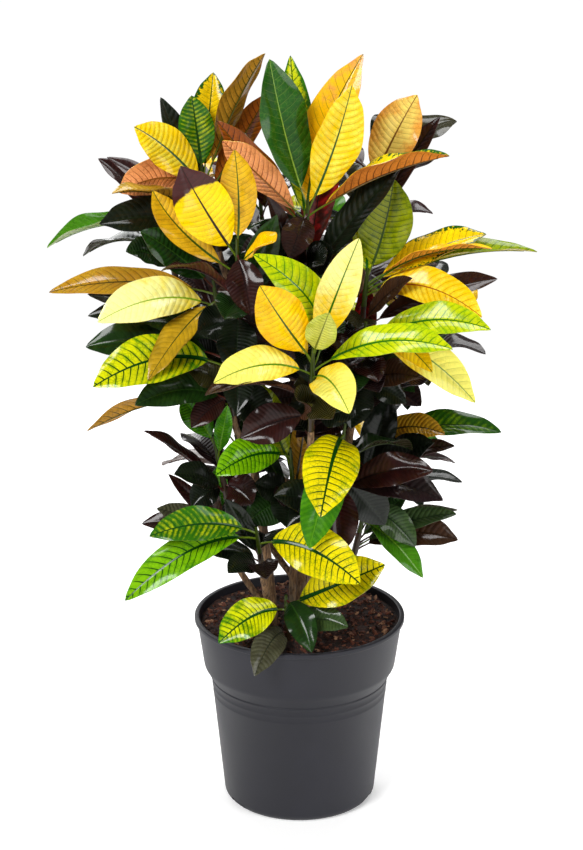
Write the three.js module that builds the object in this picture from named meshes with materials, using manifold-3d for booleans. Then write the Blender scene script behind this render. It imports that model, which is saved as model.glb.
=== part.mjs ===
// A potted croton: a bushy shrub with leathery leaves of many colours on woody stems,
// standing in the soil of a round plastic nursery pot.
// Millimetres, Z up, the viewer at -Y, the origin under the middle of the pot.
import * as THREE from 'three';
import { mergeVertices } from 'three/addons/utils/BufferGeometryUtils.js';
import Module from 'manifold-3d';

const wasm = await Module();
wasm.setup();

// Driving dimensions of the pot
const POT = {
  height: 222, rimRadius: 120, lipHeight: 5.5, lipReach: 3,
  collarFoot: 163, collarFootRadius: 109.5, shoulderFoot: 149, shoulderRadius: 101.5,
  baseRadius: 87, baseRound: 5, wall: 2.6, floor: 3.4, edgeRound: 1.2,
};
const POT_SIDES = 28;
const DRAIN_SLOTS = { count: 3, width: 27, height: 8, depth: 8, turn: -25 };

// The soil fills the pot almost to the lip, a little higher in the middle
const SOIL = {
  edgeLevel: 214, level: 218, riseRadius: 86, topRadius: 48, roughness: 2.2, waves: [0.19, 0.23],
};
const STEM_DEPTH = 44;            // how deep a stem goes into the soil
const SEAT = 0.3;                 // gap between pieces that rest on each other
const HOLE_ROOM = 2.2;            // a stem's hole in the soil is this much wider all round
const HOLE_REACH = 54;            // and runs this far, out of the top of the soil

// Stems
const TRUNK_RADII = [6, 4];       // at the soil and at the last fork
const LIMB_RADII = [4, 3.6];      // at the fork and where the leafy shoot begins
const SHOOT_RADII = [3.6, 3, 1.6]; // foot, middle and tip of a leafy shoot
const TRUNK_SIDES = 6;
const TRUNK_STEPS = 6;
const LIMB_SIDES = 4;
const LIMB_STEPS = 3;
const LIMB_BEND = 0.45;           // share of its length in which a limb turns into line with its shoot
const SHOOT_SIDES = 4;
const SIDEWAYS = [0.31, 0.95, 0.02]; // no stem runs this way, so each stem's first side is turned to it

// Leaves
const PETIOLE_SHARE = 0.15;       // of the length from root to tip
const PETIOLE = { rootHalfWidth: 0.8, endHalfWidth: 1.2, rootThickness: 1.5, endThickness: 1.8 };
const BLADE_THICKNESS = 0.9;
const FOLD = 16;                  // degrees that each half of the blade rises
const WIDEST = 1.08;              // power that sets where the blade is widest
const FULLNESS = 0.7;             // power that sets how full the blade's outline is
const LARGE_STATIONS = [0, 0.24, 0.56, 0.86, 1];
const PLAIN_STATIONS = [0, 0.32, 0.74, 1];
const LARGE_LEAF = 95;            // a leaf seen longer than this has the finer outline
const SLACK = 0.1;                // how far the joined solids may be evened out
const CLEARANCE = 1.4;            // between a leaf and whatever else it passes
const OWN_CLEARANCE = 0.6;        // between the blades of one shoot
const MOST_NUDGES = 110;
const NUDGE_STEP = 4.2;
const NUDGE_SHAPE = [0.7, 1.6, 0.8];  // a leaf's tip is moved mostly forward or back
const NUDGE_ANGLE = 2.39996;      // between one try and the next
const CURVE_MIDDLE = 0.45;        // where along a leaf its curve is lifted
const ROOTS_START = 0.22;         // share of a stem length below its lowest leaf
const ROOTS_SHARE = 0.66;         // and the share that carries leaves
const VIEW_TILT = THREE.MathUtils.degToRad(18);   // how far the viewer of the crown looks down

// Woody stems: each climbs evenly from in the soil to its top, through four points in plan
const TRUNKS = {
  front_left: { top: 520, plan: [[-28, -22], [-30, -26], [-50, -46], [-64, -56]] },
  middle: { top: 588, plan: [[-2, 10], [8, 18], [2, 4], [-2, -6]] },
  right: { top: 522, plan: [[28, -2], [40, -10], [48, -4], [62, -12]] },
  front: { top: 450, plan: [[8, -34], [12, -40], [20, -70], [16, -96]] },
  back: { top: 542, plan: [[-8, 42], [-4, 50], [-6, 80], [-8, 96]] },
};

// Leafy shoots. Each has its growing tip, the foot where its limb carries it, and the trunk
// and height that the limb grows from. A row of young or old is one leaf laid out by hand:
// [lean, seen, toward, face, arch, width, sway, aside, fold], the last two where they are set
// lean: degrees from upright to the leaf's tip, seen from the front, positive to the right
// seen: distance from the shoot's tip to the leaf's tip in that view
// toward: how far the leaf's tip comes forward of the shoot's tip
// face: where the upper side looks, 0 up, 90 forward and -90 back
// arch and sway: how far the middle of the leaf is lifted, and pushed to the right
// aside and fold: degrees that the upper side is turned to the right, and each half rises
// ruled: young and old leaves placed by rule, around the bearing `open` within `spread` degrees
const SHOOTS = {
  s01: {
    tip: [14, -170, 589], foot: [12, -138, 488], trunk: 'front', fork: 415,
    young: [
      [152, 77, 75, 60, 30, 46, 0], [-110, 108, 30, 50, 30, 42, 0], [91, 142, 25, 40, 40, 40, 0],
      [-33, 112, -5, 50, 10, 48, 62], [-37, 78, -15, 65, 0, 30, 0], [-43, 82, 25, 65, 5, 54, -8],
      [23, 118, 15, 72, 0, 42, -2], [22, 36, 26, 70, 0, 34, 0],
    ],
    old: [[-164, 57, 30, 60, 15, 36, 0], [-141, 121, -20, 65, 10, 44, 0], [150, 84, -5, 65, 10, 42, 0]],
    ruled: [0, 3], open: 90, spread: 260,
  },
  s02: {
    tip: [-65, -120, 691], foot: [-64, -92, 577], trunk: 'front_left', fork: 505,
    young: [
      [-60, 100, -10, 60, 0, 34, -25], [99, 40, 45, 40, 15, 34, 10], [-38, 91, 15, 75, 0, 60, -5],
      [-1, 90, -5, 70, 0, 40, 6],
    ],
    old: [
      [59, 45, 10, 60, 5, 36, 0], [-157, 105, 10, 65, 5, 44, 0], [165, 109, -15, 65, 5, 44, 0],
      [-178, 132, 5, 75, 5, 44, 0],
    ],
    ruled: [0, 3], open: 60, spread: 220,
  },
  s03: {
    tip: [49, -100, 484], foot: [38, -86, 385], trunk: 'front', fork: 328,
    young: [[-164, 140, 40, 60, 20, 46, 0], [-162, 99, 78, 60, 32, 62, 0]],
    old: [
      [119, 107, 20, 50, 25, 40, 0], [132, 134, 30, 45, 30, 42, 0], [-108, 83, 30, 45, 25, 38, 0],
      [-66, 54, -20, 60, 5, 32, 0], [-176, 135, -10, 70, 10, 44, 0], [162, 124, 0, 70, 10, 44, 0],
    ],
    ruled: [0, 1], open: 90, spread: 200,
  },
  s04: {
    tip: [-47, -110, 368], foot: [-40, -82, 300], trunk: 'front_left', fork: 216,
    young: [[118, 127, 35, 60, 35, 58, 0], [-119, 161, 35, 50, 45, 42, 0], [-94, 114, 30, 55, 25, 40, 0]],
    old: [
      [-148, 55, 45, 50, 15, 30, 0], [168, 54, 50, 60, 15, 34, 0], [-113, 61, 25, 50, 15, 26, 0],
      [-45, 47, 0, 60, 5, 26, 0],
    ],
    ruled: [0, 1], open: 120, spread: 180,
  },
  s05: {
    tip: [-15, -80, 277], foot: [-13, -68, 218], trunk: 'soil',
    young: [[-125, 90, 35, 60, 25, 44, 0], [72, 114, 15, 50, -2, 54, 0], [155, 67, 45, 60, 20, 34, 0]],
    old: [[-160, 93, 60, 60, 30, 36, 0], [117, 77, 20, 50, 20, 32, 0], [-52, 65, 10, 60, 5, 34, 0]],
    ruled: [0, 0], open: 90, spread: 180,
  },
  s06: {
    tip: [-92, -70, 634], foot: [-80, -64, 545], trunk: 'front_left', fork: 500,
    young: [
      [-111, 128, 45, 55, 35, 50, 0], [-148, 126, 65, 20, 20, 36, 0], [-94, 176, -10, 35, 25, 38, 0],
      [-57, 87, 40, 60, 10, 40, 0],
    ],
    old: [
      [-119, 97, 45, 50, 25, 38, 0], [-105, 141, -25, 40, 30, 38, 0], [-94, 140, -45, 40, 20, 36, 0],
      [-34, 76, 20, 60, 5, 26, 0],
    ],
    ruled: [0, 1], open: 90, spread: 160,
  },
  s07: {
    tip: [-82, -90, 571], foot: [-72, -76, 485], trunk: 'front_left', fork: 432,
    young: [[-108, 138, 50, 55, 40, 56, 0], [-91, 146, 0, 50, 25, 48, 0]],
    old: [
      [-123, 173, 15, -38, 35, 40, 0], [-126, 114, 30, 50, 30, 40, 0], [-159, 95, 20, 50, 10, 30, 0],
      [150, 100, 10, 65, 15, 44, 0],
    ],
    ruled: [1, 2], open: 70, spread: 240,
  },
  s08: {
    tip: [70, -110, 599], foot: [60, -84, 505], trunk: 'right', fork: 392,
    young: [[94, 129, 30, 45, 40, 40, 0], [126, 144, 5, 55, 40, 44, 0], [128, 89, 45, 50, 25, 30, 0]],
    old: [
      [132, 80, 25, 50, 20, 34, 0], [95, 89, -15, 45, 20, 36, 0], [170, 75, 40, 60, 20, 36, 0],
      [-170, 110, 0, 65, 10, 44, 0], [-150, 84, 5, 60, 10, 40, 0],
    ],
    ruled: [0, 2], open: 60, spread: 240,
  },
  s09: {
    tip: [74, -20, 634], foot: [66, -16, 547], trunk: 'right', fork: 512,
    young: [
      [114, 133, 40, 45, 45, 46, 0], [86, 181, 5, 8, 35, 40, 0, 0, 28], [76, 134, -22, 25, 20, 46, 0],
      [82, 133, 30, -10, 30, 40, 0], [1, 70, -20, 60, 0, 34, 0], [16, 96, 10, 80, 0, 60, 8],
      [-174, 82, -5, 85, 0, 26, 0],
    ],
    old: [[52, 84, -38, 60, 5, 38, 0], [94, 143, -25, 35, 20, 38, 0], [110, 51, 30, 40, 15, 26, 0]],
    ruled: [0, 3], open: 110, spread: 240,
  },
  s10: {
    tip: [9, -40, 715], foot: [5, -24, 602], trunk: 'middle', fork: 560,
    young: [
      [-7, 154, -50, 60, 0, 40, 0], [-49, 128, -30, -50, 0, 40, 0], [21, 163, -35, 70, 0, 50, -30],
      [-57, 107, 15, -60, 10, 40, -10], [74, 154, 20, -4, 20, 50, 0, 0, 40], [22, 121, 25, 75, 0, 54, 8, 20],
      [-16, 146, 10, 85, 0, 58, -8, 30],
    ],
    old: [
      [71, 103, -5, 30, 15, 42, 0], [-90, 43, 30, 40, 5, 24, 0], [14, 96, -15, 80, 0, 40, 0],
      [-132, 65, 25, 60, 5, 42, 0], [153, 61, 20, 60, 5, 38, 0], [-160, 70, 15, 65, 5, 42, 0],
    ],
    ruled: [0, 4], open: 90, spread: 280,
  },
  s11: {
    tip: [-107, 10, 741], foot: [-88, 12, 645], trunk: 'middle', fork: 500,
    young: [
      [43, 108, -35, -60, 0, 36, 0], [-62, 78, 25, 65, 18, 46, 0], [-108, 92, 25, -75, 28, 46, 0],
      [31, 136, -10, -25, 25, 40, 0], [15, 102, -25, 40, 10, 40, 0], [-7, 64, -10, 60, 5, 40, 0],
    ],
    old: [
      [-87, 110, 0, 15, 15, 36, 0], [137, 49, 45, 40, 25, 44, 0], [-35, 81, 5, 45, 10, 30, 0],
      [-117, 125, 10, 50, 20, 46, 0],
    ],
    ruled: [1, 3], open: 110, spread: 220,
  },
  s12: {
    tip: [-160, 40, 690], foot: [-134, 34, 600], trunk: 'middle', fork: 395,
    young: [[-112, 126, 20, 5, 35, 42, 0, 0, 32], [-50, 80, -20, 15, 15, 32, 0]],
    old: [[-150, 60, 25, 40, 20, 36, 0]],
    ruled: [2, 3], open: 95, spread: 120,
  },
  s13: {
    tip: [79, 50, 738], foot: [72, 36, 642], trunk: 'right', fork: 505,
    young: [[36, 82, 15, 60, 10, 54, 0], [45, 56, 20, 60, 10, 34, 0]],
    old: [[58, 88, -10, 30, 15, 30, 0]],
    ruled: [3, 4], open: 110, spread: 200,
  },
  s14: {
    tip: [81, 0, 448], foot: [72, -2, 365], trunk: 'right', fork: 308,
    young: [[93, 143, 15, 30, 35, 38, 0], [97, 80, 30, 40, 25, 34, 0]],
    old: [[24, 40, 25, 60, 5, 40, 0], [98, 58, 35, 55, 15, 40, 0], [104, 95, 5, 30, 20, 26, 0]],
    ruled: [1, 2], open: 60, spread: 200,
  },
  s15: {
    tip: [73, -60, 376], foot: [60, -40, 305], trunk: 'right', fork: 245,
    young: [[142, 103, 15, 40, 20, 30, 0], [132, 65, 35, 60, 25, 34, 0]],
    old: [
      [118, 108, 25, 40, 30, 42, 0], [95, 101, -10, 30, 20, 30, 0], [101, 100, -30, 20, 20, 26, 0],
      [80, 40, 20, 60, 5, 22, 0], [-80, 30, 20, 60, 5, 20, 0],
    ],
    ruled: [0, 1], open: 90, spread: 160,
  },
  s16: {
    tip: [-10, -60, 442], foot: [-6, -40, 360], trunk: 'front', fork: 298,
    young: [[-24, 78, 15, 70, 0, 36, -4], [-110, 85, 45, 50, 25, 44, 0]],
    old: [
      [20, 48, 25, 60, 5, 26, 0], [-76, 72, 10, 50, 10, 24, 0], [-150, 95, 20, 70, 10, 44, 0],
      [170, 100, 10, 70, 10, 44, 0], [-60, 80, -10, 60, 10, 40, 0],
    ],
    ruled: [0, 2], open: 90, spread: 200,
  },
  s17: {
    tip: [-94, -60, 455], foot: [-78, -52, 372], trunk: 'front_left', fork: 308,
    young: [[20, 40, 20, 70, 0, 20, 0], [-40, 55, -10, 60, 10, 34, 0]],
    old: [
      [-85, 74, 20, 8, 15, 36, 0], [-130, 60, 30, 50, 15, 32, 0], [-160, 80, 20, 50, 15, 34, 0],
      [150, 85, 15, 70, 10, 42, 0],
    ],
    ruled: [0, 2], open: 60, spread: 120,
  },
  s18: {
    tip: [-98, -10, 365], foot: [-76, -14, 300], trunk: 'front_left', fork: 235,
    young: [[10, 40, 10, 70, 0, 22, 0]],
    old: [
      [-100, 62, 20, 50, 15, 30, 0], [-110, 85, -5, 40, 20, 30, 0], [-26, 51, 5, 50, 5, 22, 0],
      [-40, 46, 25, 50, 5, 18, 0], [120, 60, 15, 65, 10, 34, 0],
    ],
    ruled: [1, 1], open: 120, spread: 160,
  },
  s19: {
    tip: [-45, 110, 690], foot: [-38, 100, 600], trunk: 'back', fork: 532,
    young: [], old: [], ruled: [4, 4], open: 110, spread: 360,
  },
  s20: {
    tip: [50, 130, 640], foot: [40, 116, 550], trunk: 'back', fork: 472,
    young: [], old: [], ruled: [4, 4], open: 70, spread: 360,
  },
  s21: {
    tip: [-125, 115, 570], foot: [-104, 106, 485], trunk: 'back', fork: 350,
    young: [], old: [], ruled: [4, 4], open: 150, spread: 330,
  },
  s22: {
    tip: [130, 95, 560], foot: [108, 86, 475], trunk: 'right', fork: 318,
    young: [], old: [], ruled: [4, 4], open: 30, spread: 330,
  },
  s23: {
    tip: [0, 170, 510], foot: [-2, 148, 425], trunk: 'back', fork: 325,
    young: [], old: [], ruled: [4, 4], open: 90, spread: 330,
  },
  s24: {
    tip: [-75, 110, 400], foot: [-56, 94, 325], trunk: 'back', fork: 245,
    young: [], old: [], ruled: [3, 4], open: 130, spread: 280,
  },
  s25: {
    tip: [80, 105, 390], foot: [58, 90, 320], trunk: 'back', fork: 240,
    young: [], old: [], ruled: [3, 4], open: 50, spread: 280,
  },
};

// Leaves placed by rule take their sizes between these limits
const RULED = {
  young: { reach: [86, 122], rise: [-8, 46], arch: [20, 44], width: [42, 54] },
  old: { reach: [82, 120], rise: [-80, -8], arch: [22, 44], width: [42, 56] },
};
const GOLDEN_TURN = 0.618034;
const OUTWARD_LEAN = 0.45;        // how much a ruled leaf's upper side looks outwards
const SEED = 20611;

// Colours of the plain materials
const COLOURS = {
  pot: 0x3b3c40, soil: 0x35231a, wood: 0x77654f, young: 0xd9c62a, old: 0x4b2030,
};

const up = new THREE.Vector3(0, 0, 1);
const vector = (xyz) => new THREE.Vector3(...xyz);

// A small seeded generator, so that the ruled leaves are the same each time
let seedState = SEED;
function draw([low, high]) {
  seedState = (seedState * 1664525 + 1013904223) % 4294967296;
  return low + (high - low) * (seedState / 4294967296);
}

// Turns a closed three.js geometry into a solid, facing outwards
function solidOf(geometry) {
  geometry.deleteAttribute('normal');
  geometry.deleteAttribute('uv');
  const merged = mergeVertices(geometry, 1e-3);
  const index = Array.from(merged.index.array);
  const kept = [];
  for (let i = 0; i < index.length; i += 3) {
    const [a, b, c] = index.slice(i, i + 3);
    if (a !== b && b !== c && c !== a) kept.push(a, b, c);
  }
  const points = merged.attributes.position.array;
  if (signedVolume(points, kept) < 0) kept.reverse();
  return new wasm.Manifold(new wasm.Mesh({
    numProp: 3, vertProperties: Float32Array.from(points), triVerts: Uint32Array.from(kept),
  }));
}

function signedVolume(points, index) {
  const [a, b, c] = [new THREE.Vector3(), new THREE.Vector3(), new THREE.Vector3()];
  let volume = 0;
  for (let i = 0; i < index.length; i += 3) {
    a.fromArray(points, index[i] * 3);
    b.fromArray(points, index[i + 1] * 3);
    c.fromArray(points, index[i + 2] * 3);
    volume += a.dot(b.cross(c)) / 6;
  }
  return volume;
}

function meshOf(name, solid, colour, roughness) {
  const { vertProperties, triVerts } = solid.getMesh();
  const geometry = new THREE.BufferGeometry();
  geometry.setAttribute('position', new THREE.BufferAttribute(vertProperties, 3));
  geometry.setIndex(new THREE.BufferAttribute(triVerts, 1));
  geometry.computeVertexNormals();
  const material = new THREE.MeshStandardMaterial({ color: colour, roughness, metalness: 0 });
  const mesh = new THREE.Mesh(geometry, material);
  mesh.name = name;
  return mesh;
}

// A tapered round stem that follows a curve
function stemAlong(curve, [startRadius, endRadius], sides, steps) {
  const geometry = new THREE.CylinderGeometry(endRadius, startRadius, 1, sides, steps);
  const place = geometry.attributes.position;
  const aside = vector(SIDEWAYS);
  for (let i = 0; i < place.count; i += 1) {
    const along = place.getY(i) + 0.5;
    const heading = curve.getTangent(along);
    const across = new THREE.Vector3().crossVectors(heading, aside).normalize();
    const over = new THREE.Vector3().crossVectors(across, heading);
    const point = curve.getPoint(along)
      .addScaledVector(across, place.getX(i))
      .addScaledVector(over, place.getZ(i));
    place.setXYZ(i, point.x, point.y, point.z);
  }
  return solidOf(geometry);
}

// The pot's inner radius at a height, from the floor to the lip
function innerRadius(z) {
  const wallLine = [
    [0, POT.baseRadius], [POT.shoulderFoot, POT.shoulderRadius],
    [POT.collarFoot, POT.collarFootRadius], [POT.height, POT.rimRadius - POT.lipReach],
  ];
  for (let i = 1; i < wallLine.length; i += 1) {
    const [[z0, r0], [z1, r1]] = [wallLine[i - 1], wallLine[i]];
    if (z <= z1) return r0 + (r1 - r0) * (z - z0) / (z1 - z0) - POT.wall;
  }
  return POT.rimRadius - POT.lipReach - POT.wall;
}

function lathed(profile) {
  const geometry = new THREE.LatheGeometry(profile.map(([r, z]) => new THREE.Vector2(r, z)), POT_SIDES);
  return solidOf(geometry.rotateX(Math.PI / 2));
}

function makePot() {
  const { height, rimRadius, lipHeight, lipReach, collarFoot, shoulderFoot, shoulderRadius } = POT;
  const { baseRadius, baseRound, floor, edgeRound } = POT;
  const neck = rimRadius - lipReach;
  const inside = (z) => [innerRadius(z), z];
  const shell = lathed([
    [0, floor], [innerRadius(floor) - baseRound, floor], inside(floor + baseRound),
    inside(shoulderFoot), inside(collarFoot), inside(height - 2 * edgeRound),
    [neck - edgeRound / 2, height], [rimRadius - edgeRound, height], [rimRadius, height - edgeRound],
    [rimRadius, height - lipHeight + edgeRound], [neck, height - lipHeight],
    [POT.collarFootRadius, collarFoot], [shoulderRadius + edgeRound, shoulderFoot + edgeRound],
    [shoulderRadius, shoulderFoot - edgeRound], [baseRadius, baseRound],
    [baseRadius - edgeRound, edgeRound], [baseRadius - baseRound, 0], [0, 0],
  ]);
  const slots = [];
  for (let i = 0; i < DRAIN_SLOTS.count; i += 1) {
    const slot = new THREE.BoxGeometry(DRAIN_SLOTS.depth, DRAIN_SLOTS.width, DRAIN_SLOTS.height);
    slot.translate(baseRadius, 0, DRAIN_SLOTS.height / 2 - SEAT);
    slot.rotateZ(THREE.MathUtils.degToRad(DRAIN_SLOTS.turn) + i * 2 * Math.PI / DRAIN_SLOTS.count);
    slots.push(solidOf(slot));
  }
  return shell.subtract(wasm.Manifold.union(slots));
}

function makeSoil(stems) {
  const inside = (z) => innerRadius(z) - SEAT;
  const body = new THREE.LatheGeometry([
    [0, POT.floor + SEAT], [inside(POT.floor) - POT.baseRound, POT.floor + SEAT],
    [inside(POT.floor + POT.baseRound), POT.floor + POT.baseRound + SEAT],
    [inside(POT.shoulderFoot), POT.shoulderFoot + SEAT], [inside(POT.collarFoot), POT.collarFoot + SEAT],
    [inside(SOIL.edgeLevel), SOIL.edgeLevel], [SOIL.riseRadius, SOIL.level - 1],
    [SOIL.topRadius, SOIL.level], [0, SOIL.level],
  ].map(([r, z]) => new THREE.Vector2(r, z)), POT_SIDES).rotateX(Math.PI / 2);
  const place = body.attributes.position;
  for (let i = 0; i < place.count; i += 1) {
    const [x, y, z] = [place.getX(i), place.getY(i), place.getZ(i)];
    if (z > SOIL.edgeLevel + 1) {
      place.setZ(i, z + SOIL.roughness * Math.sin(x * SOIL.waves[0] + 1) * Math.cos(y * SOIL.waves[1]));
    }
  }
  return stems.reduce((soil, stem) => soil.subtract(stem), solidOf(body));
}

// A hole in the soil from just under a stem's lower end, wider than the stem and in line with it
function stemHole(start, heading, radius) {
  const from = start.clone().addScaledVector(heading, -SEAT);
  const to = start.clone().addScaledVector(heading, HOLE_REACH);
  const wide = radius + HOLE_ROOM;
  return stemAlong(new THREE.LineCurve3(from, to), [wide, wide], TRUNK_SIDES, 1);
}

// Each leaf's middle runs along one bent curve from its root in the stem to its tip
function leafCurve(root, tip, arch, sway) {
  const middle = root.clone().lerp(tip, CURVE_MIDDLE);
  middle.z += arch;
  middle.x += sway;
  return new THREE.QuadraticBezierCurve3(root, middle, tip);
}

// Half the blade's width at t, from 0 at its base to 1 at its tip, as a share of the widest
const outline = (t) => Math.sin(Math.PI * t ** WIDEST) ** FULLNESS;

// One crosswise row of the leaf: left, middle and right on its upper and on its lower side.
// The petiole is three-sided, so its edges have no thickness of their own.
function leafRow(curve, along, facing, halfWidth, [edgeThickness, thickness], fold) {
  const middle = curve.getPoint(along);
  const heading = curve.getTangent(along);
  const normal = facing.clone().addScaledVector(heading, -facing.dot(heading)).normalize();
  const across = new THREE.Vector3().crossVectors(heading, normal);
  const points = [-1, 0, 1].map((side) => middle.clone()
    .addScaledVector(across, side * halfWidth * Math.cos(fold))
    .addScaledVector(normal, Math.abs(side) * halfWidth * Math.sin(fold)));
  const depths = [edgeThickness, thickness, edgeThickness];
  const below = points.map((point, i) => point.clone().addScaledVector(normal, -depths[i]));
  return { upper: points, lower: below };
}

function leafSolid({ curve, facing, width, fold }, stations, fromShare = 0) {
  const rise = THREE.MathUtils.degToRad(fold);
  const rows = [];
  if (fromShare < PETIOLE_SHARE) {
    const { rootHalfWidth, rootThickness } = PETIOLE;
    rows.push(leafRow(curve, fromShare, facing, rootHalfWidth, [0, rootThickness], 0));
  }
  for (const t of stations) {
    const along = PETIOLE_SHARE + t * (1 - PETIOLE_SHARE);
    if (t === 0) {
      rows.push(leafRow(curve, along, facing, PETIOLE.endHalfWidth, [0, PETIOLE.endThickness], 0));
    } else if (t < 1) {
      const halfWidth = outline(t) * width / 2;
      rows.push(leafRow(curve, along, facing, halfWidth, [BLADE_THICKNESS, BLADE_THICKNESS], rise));
    } else {
      rows.push(leafRow(curve, along, facing, 0, [0, 0], 0));
    }
  }
  return solidOf(closedSheet(rows));
}

// Closes a grid of rows into a solid whose two faces are split into triangles alike
function closedSheet(rows) {
  const grid = new THREE.PlaneGeometry(2, 1, 2, rows.length - 1);
  const count = grid.attributes.position.count;
  const points = [...rows.flatMap((row) => row.upper), ...rows.flatMap((row) => row.lower)];
  const index = [];
  for (let i = 0; i < grid.index.count; i += 3) {
    const [a, b, c] = [0, 1, 2].map((k) => grid.index.getX(i + k));
    index.push(a, c, b, a + count, b + count, c + count);
  }
  const right = rows.map((row, i) => 3 * i + 2);
  const left = rows.map((row, i) => 3 * i).reverse();
  const rim = [0, 1, ...right, count - 2, ...left.slice(0, -1)];
  rim.forEach((p, i) => {
    const q = rim[(i + 1) % rim.length];
    index.push(p, p + count, q, q, p + count, q + count);
  });
  const sheet = new THREE.BufferGeometry().setFromPoints(points);
  sheet.setIndex(index);
  return sheet;
}

// The places tried for a leaf's tip, one after the other, until the leaf passes clear
function nudge(turn) {
  const size = NUDGE_STEP * Math.sqrt(turn);
  const height = 1 - 2 * ((turn * GOLDEN_TURN) % 1);
  const ring = Math.sqrt(1 - height * height);
  const angle = turn * NUDGE_ANGLE;
  return new THREE.Vector3(ring * Math.cos(angle), height, ring * Math.sin(angle))
    .multiply(vector(NUDGE_SHAPE)).multiplyScalar(size);
}

function placedLeaf(shoot, [lean, seen, toward, face, arch, width, sway, aside = 0, fold = FOLD]) {
  const [turn, look, side] = [lean, face, aside].map(THREE.MathUtils.degToRad);
  const rise = (seen * Math.cos(turn) + toward * Math.sin(VIEW_TILT)) / Math.cos(VIEW_TILT);
  const tip = vector(shoot.tip).add(new THREE.Vector3(seen * Math.sin(turn), -toward, rise));
  const facing = new THREE.Vector3(
    Math.sin(look) * Math.sin(side), -Math.sin(look) * Math.cos(side), Math.cos(look),
  );
  const stations = seen > LARGE_LEAF ? LARGE_STATIONS : PLAIN_STATIONS;
  return { tip, facing, arch, width, sway, fold, stations };
}

function ruledLeaf(shoot, age, number) {
  const share = ((number + (age === 'old' ? 0.5 : 0)) * GOLDEN_TURN) % 1;
  const bearing = THREE.MathUtils.degToRad(shoot.open + shoot.spread * (share - 0.5));
  const out = new THREE.Vector3(Math.cos(bearing), Math.sin(bearing), 0);
  const limits = RULED[age];
  const tip = vector(shoot.tip).addScaledVector(out, draw(limits.reach));
  tip.z += draw(limits.rise);
  const facing = up.clone().addScaledVector(out, OUTWARD_LEAN).normalize();
  const [arch, width] = [draw(limits.arch), draw(limits.width)];
  return { tip, facing, arch, width, sway: 0, fold: FOLD, stations: PLAIN_STATIONS };
}

// Everything that a new leaf has to pass clear of. Leaves of one stem length may touch at
// their petioles, so only their blades are compared.
const standing = [];
function remember(owner, whole, blade = whole) {
  standing.push({ owner, whole, blade, box: whole.boundingBox() });
}

function boxesNear(a, b, gap) {
  return [0, 1, 2].every((k) => a.min[k] - gap < b.max[k] && b.min[k] - gap < a.max[k]);
}

function isClear(owner, whole, blade) {
  const box = whole.boundingBox();
  return standing.every((other) => {
    const isOwn = other.owner === owner;
    const gap = isOwn ? OWN_CLEARANCE : CLEARANCE;
    if (!boxesNear(box, other.box, gap)) return true;
    return (isOwn ? blade.minGap(other.blade, gap) : whole.minGap(other.whole, gap)) >= gap;
  });
}

// Grows one leaf from its root, bent until it passes clear, or leaves it out
const leaves = [];
function growLeaf(root, leaf, owner) {
  for (let turn = 0; turn <= MOST_NUDGES; turn += 1) {
    const tip = leaf.tip.clone().add(nudge(turn));
    const shape = { ...leaf, curve: leafCurve(root, tip, leaf.arch, leaf.sway) };
    const whole = leafSolid(shape, leaf.stations);
    const blade = leafSolid(shape, leaf.stations, PETIOLE_SHARE);
    if (isClear(owner, whole, blade)) {
      remember(owner, whole, blade);
      leaves.push({ owner, whole });
      return;
    }
    whole.delete();
    blade.delete();
  }
}

const potSolid = makePot();
remember('pot', potSolid);

// The stems come first: the trunks with a limb to each shoot, then each shoot's two stem lengths
const trunks = {};
for (const [name, { top, plan }] of Object.entries(TRUNKS)) {
  const low = SOIL.level - STEM_DEPTH;
  const points = plan.map(([x, y], i) => new THREE.Vector3(x, y, low + (top - low) * i / 3));
  const curve = new THREE.CubicBezierCurve3(...points);
  const at = (height) => curve.getPoint((height - low) / (top - low));
  trunks[name] = { at, solids: [stemAlong(curve, TRUNK_RADII, TRUNK_SIDES, TRUNK_STEPS)] };
}

const sections = {};
for (const [name, shoot] of Object.entries(SHOOTS)) {
  const foot = vector(shoot.foot);
  const tip = vector(shoot.tip);
  const heading = tip.clone().sub(foot).normalize();
  const middle = foot.clone().lerp(tip, 0.5);
  const start = foot.clone();
  if (shoot.trunk === 'soil') {
    start.addScaledVector(heading, -STEM_DEPTH);
  } else {
    const { at, solids } = trunks[shoot.trunk];
    const fork = at(shoot.fork);
    const end = foot.clone().addScaledVector(heading, -SEAT);
    const elbow = end.clone().addScaledVector(heading, -LIMB_BEND * fork.distanceTo(end));
    const limb = new THREE.QuadraticBezierCurve3(fork, elbow, end);
    solids.push(stemAlong(limb, LIMB_RADII, LIMB_SIDES, LIMB_STEPS));
  }
  const upperFoot = middle.clone().addScaledVector(heading, SEAT);
  sections[name] = {
    old: stemAlong(new THREE.LineCurve3(start, middle), SHOOT_RADII.slice(0, 2), SHOOT_SIDES, 1),
    young: stemAlong(new THREE.LineCurve3(upperFoot, tip), SHOOT_RADII.slice(1), SHOOT_SIDES, 1),
    oldSpan: [foot, middle],
    youngSpan: [upperFoot, tip],
  };
  remember(`${name}_old`, sections[name].old);
  remember(`${name}_young`, sections[name].young);
}
const woodySolids = {};
for (const [name, { solids }] of Object.entries(trunks)) {
  woodySolids[name] = wasm.Manifold.union(solids).simplify(SLACK);
  remember(name, woodySolids[name]);
}

const holes = Object.values(trunks).map(({ at }) => {
  const start = at(SOIL.level - STEM_DEPTH);
  return stemHole(start, at(SOIL.level).sub(start).normalize(), TRUNK_RADII[0]);
});
for (const shoot of Object.values(SHOOTS).filter(({ trunk }) => trunk === 'soil')) {
  const heading = vector(shoot.tip).sub(vector(shoot.foot)).normalize();
  const start = vector(shoot.foot).addScaledVector(heading, -STEM_DEPTH);
  holes.push(stemHole(start, heading, SHOOT_RADII[0]));
}
const soilSolid = makeSoil(holes);
remember('soil', soilSolid);

// Then the leaves: those laid out by hand on every shoot, and after them the ruled ones
function rootOn([from, to], number, count) {
  return from.clone().lerp(to, ROOTS_START + ROOTS_SHARE * (number + 0.5) / count);
}

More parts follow.
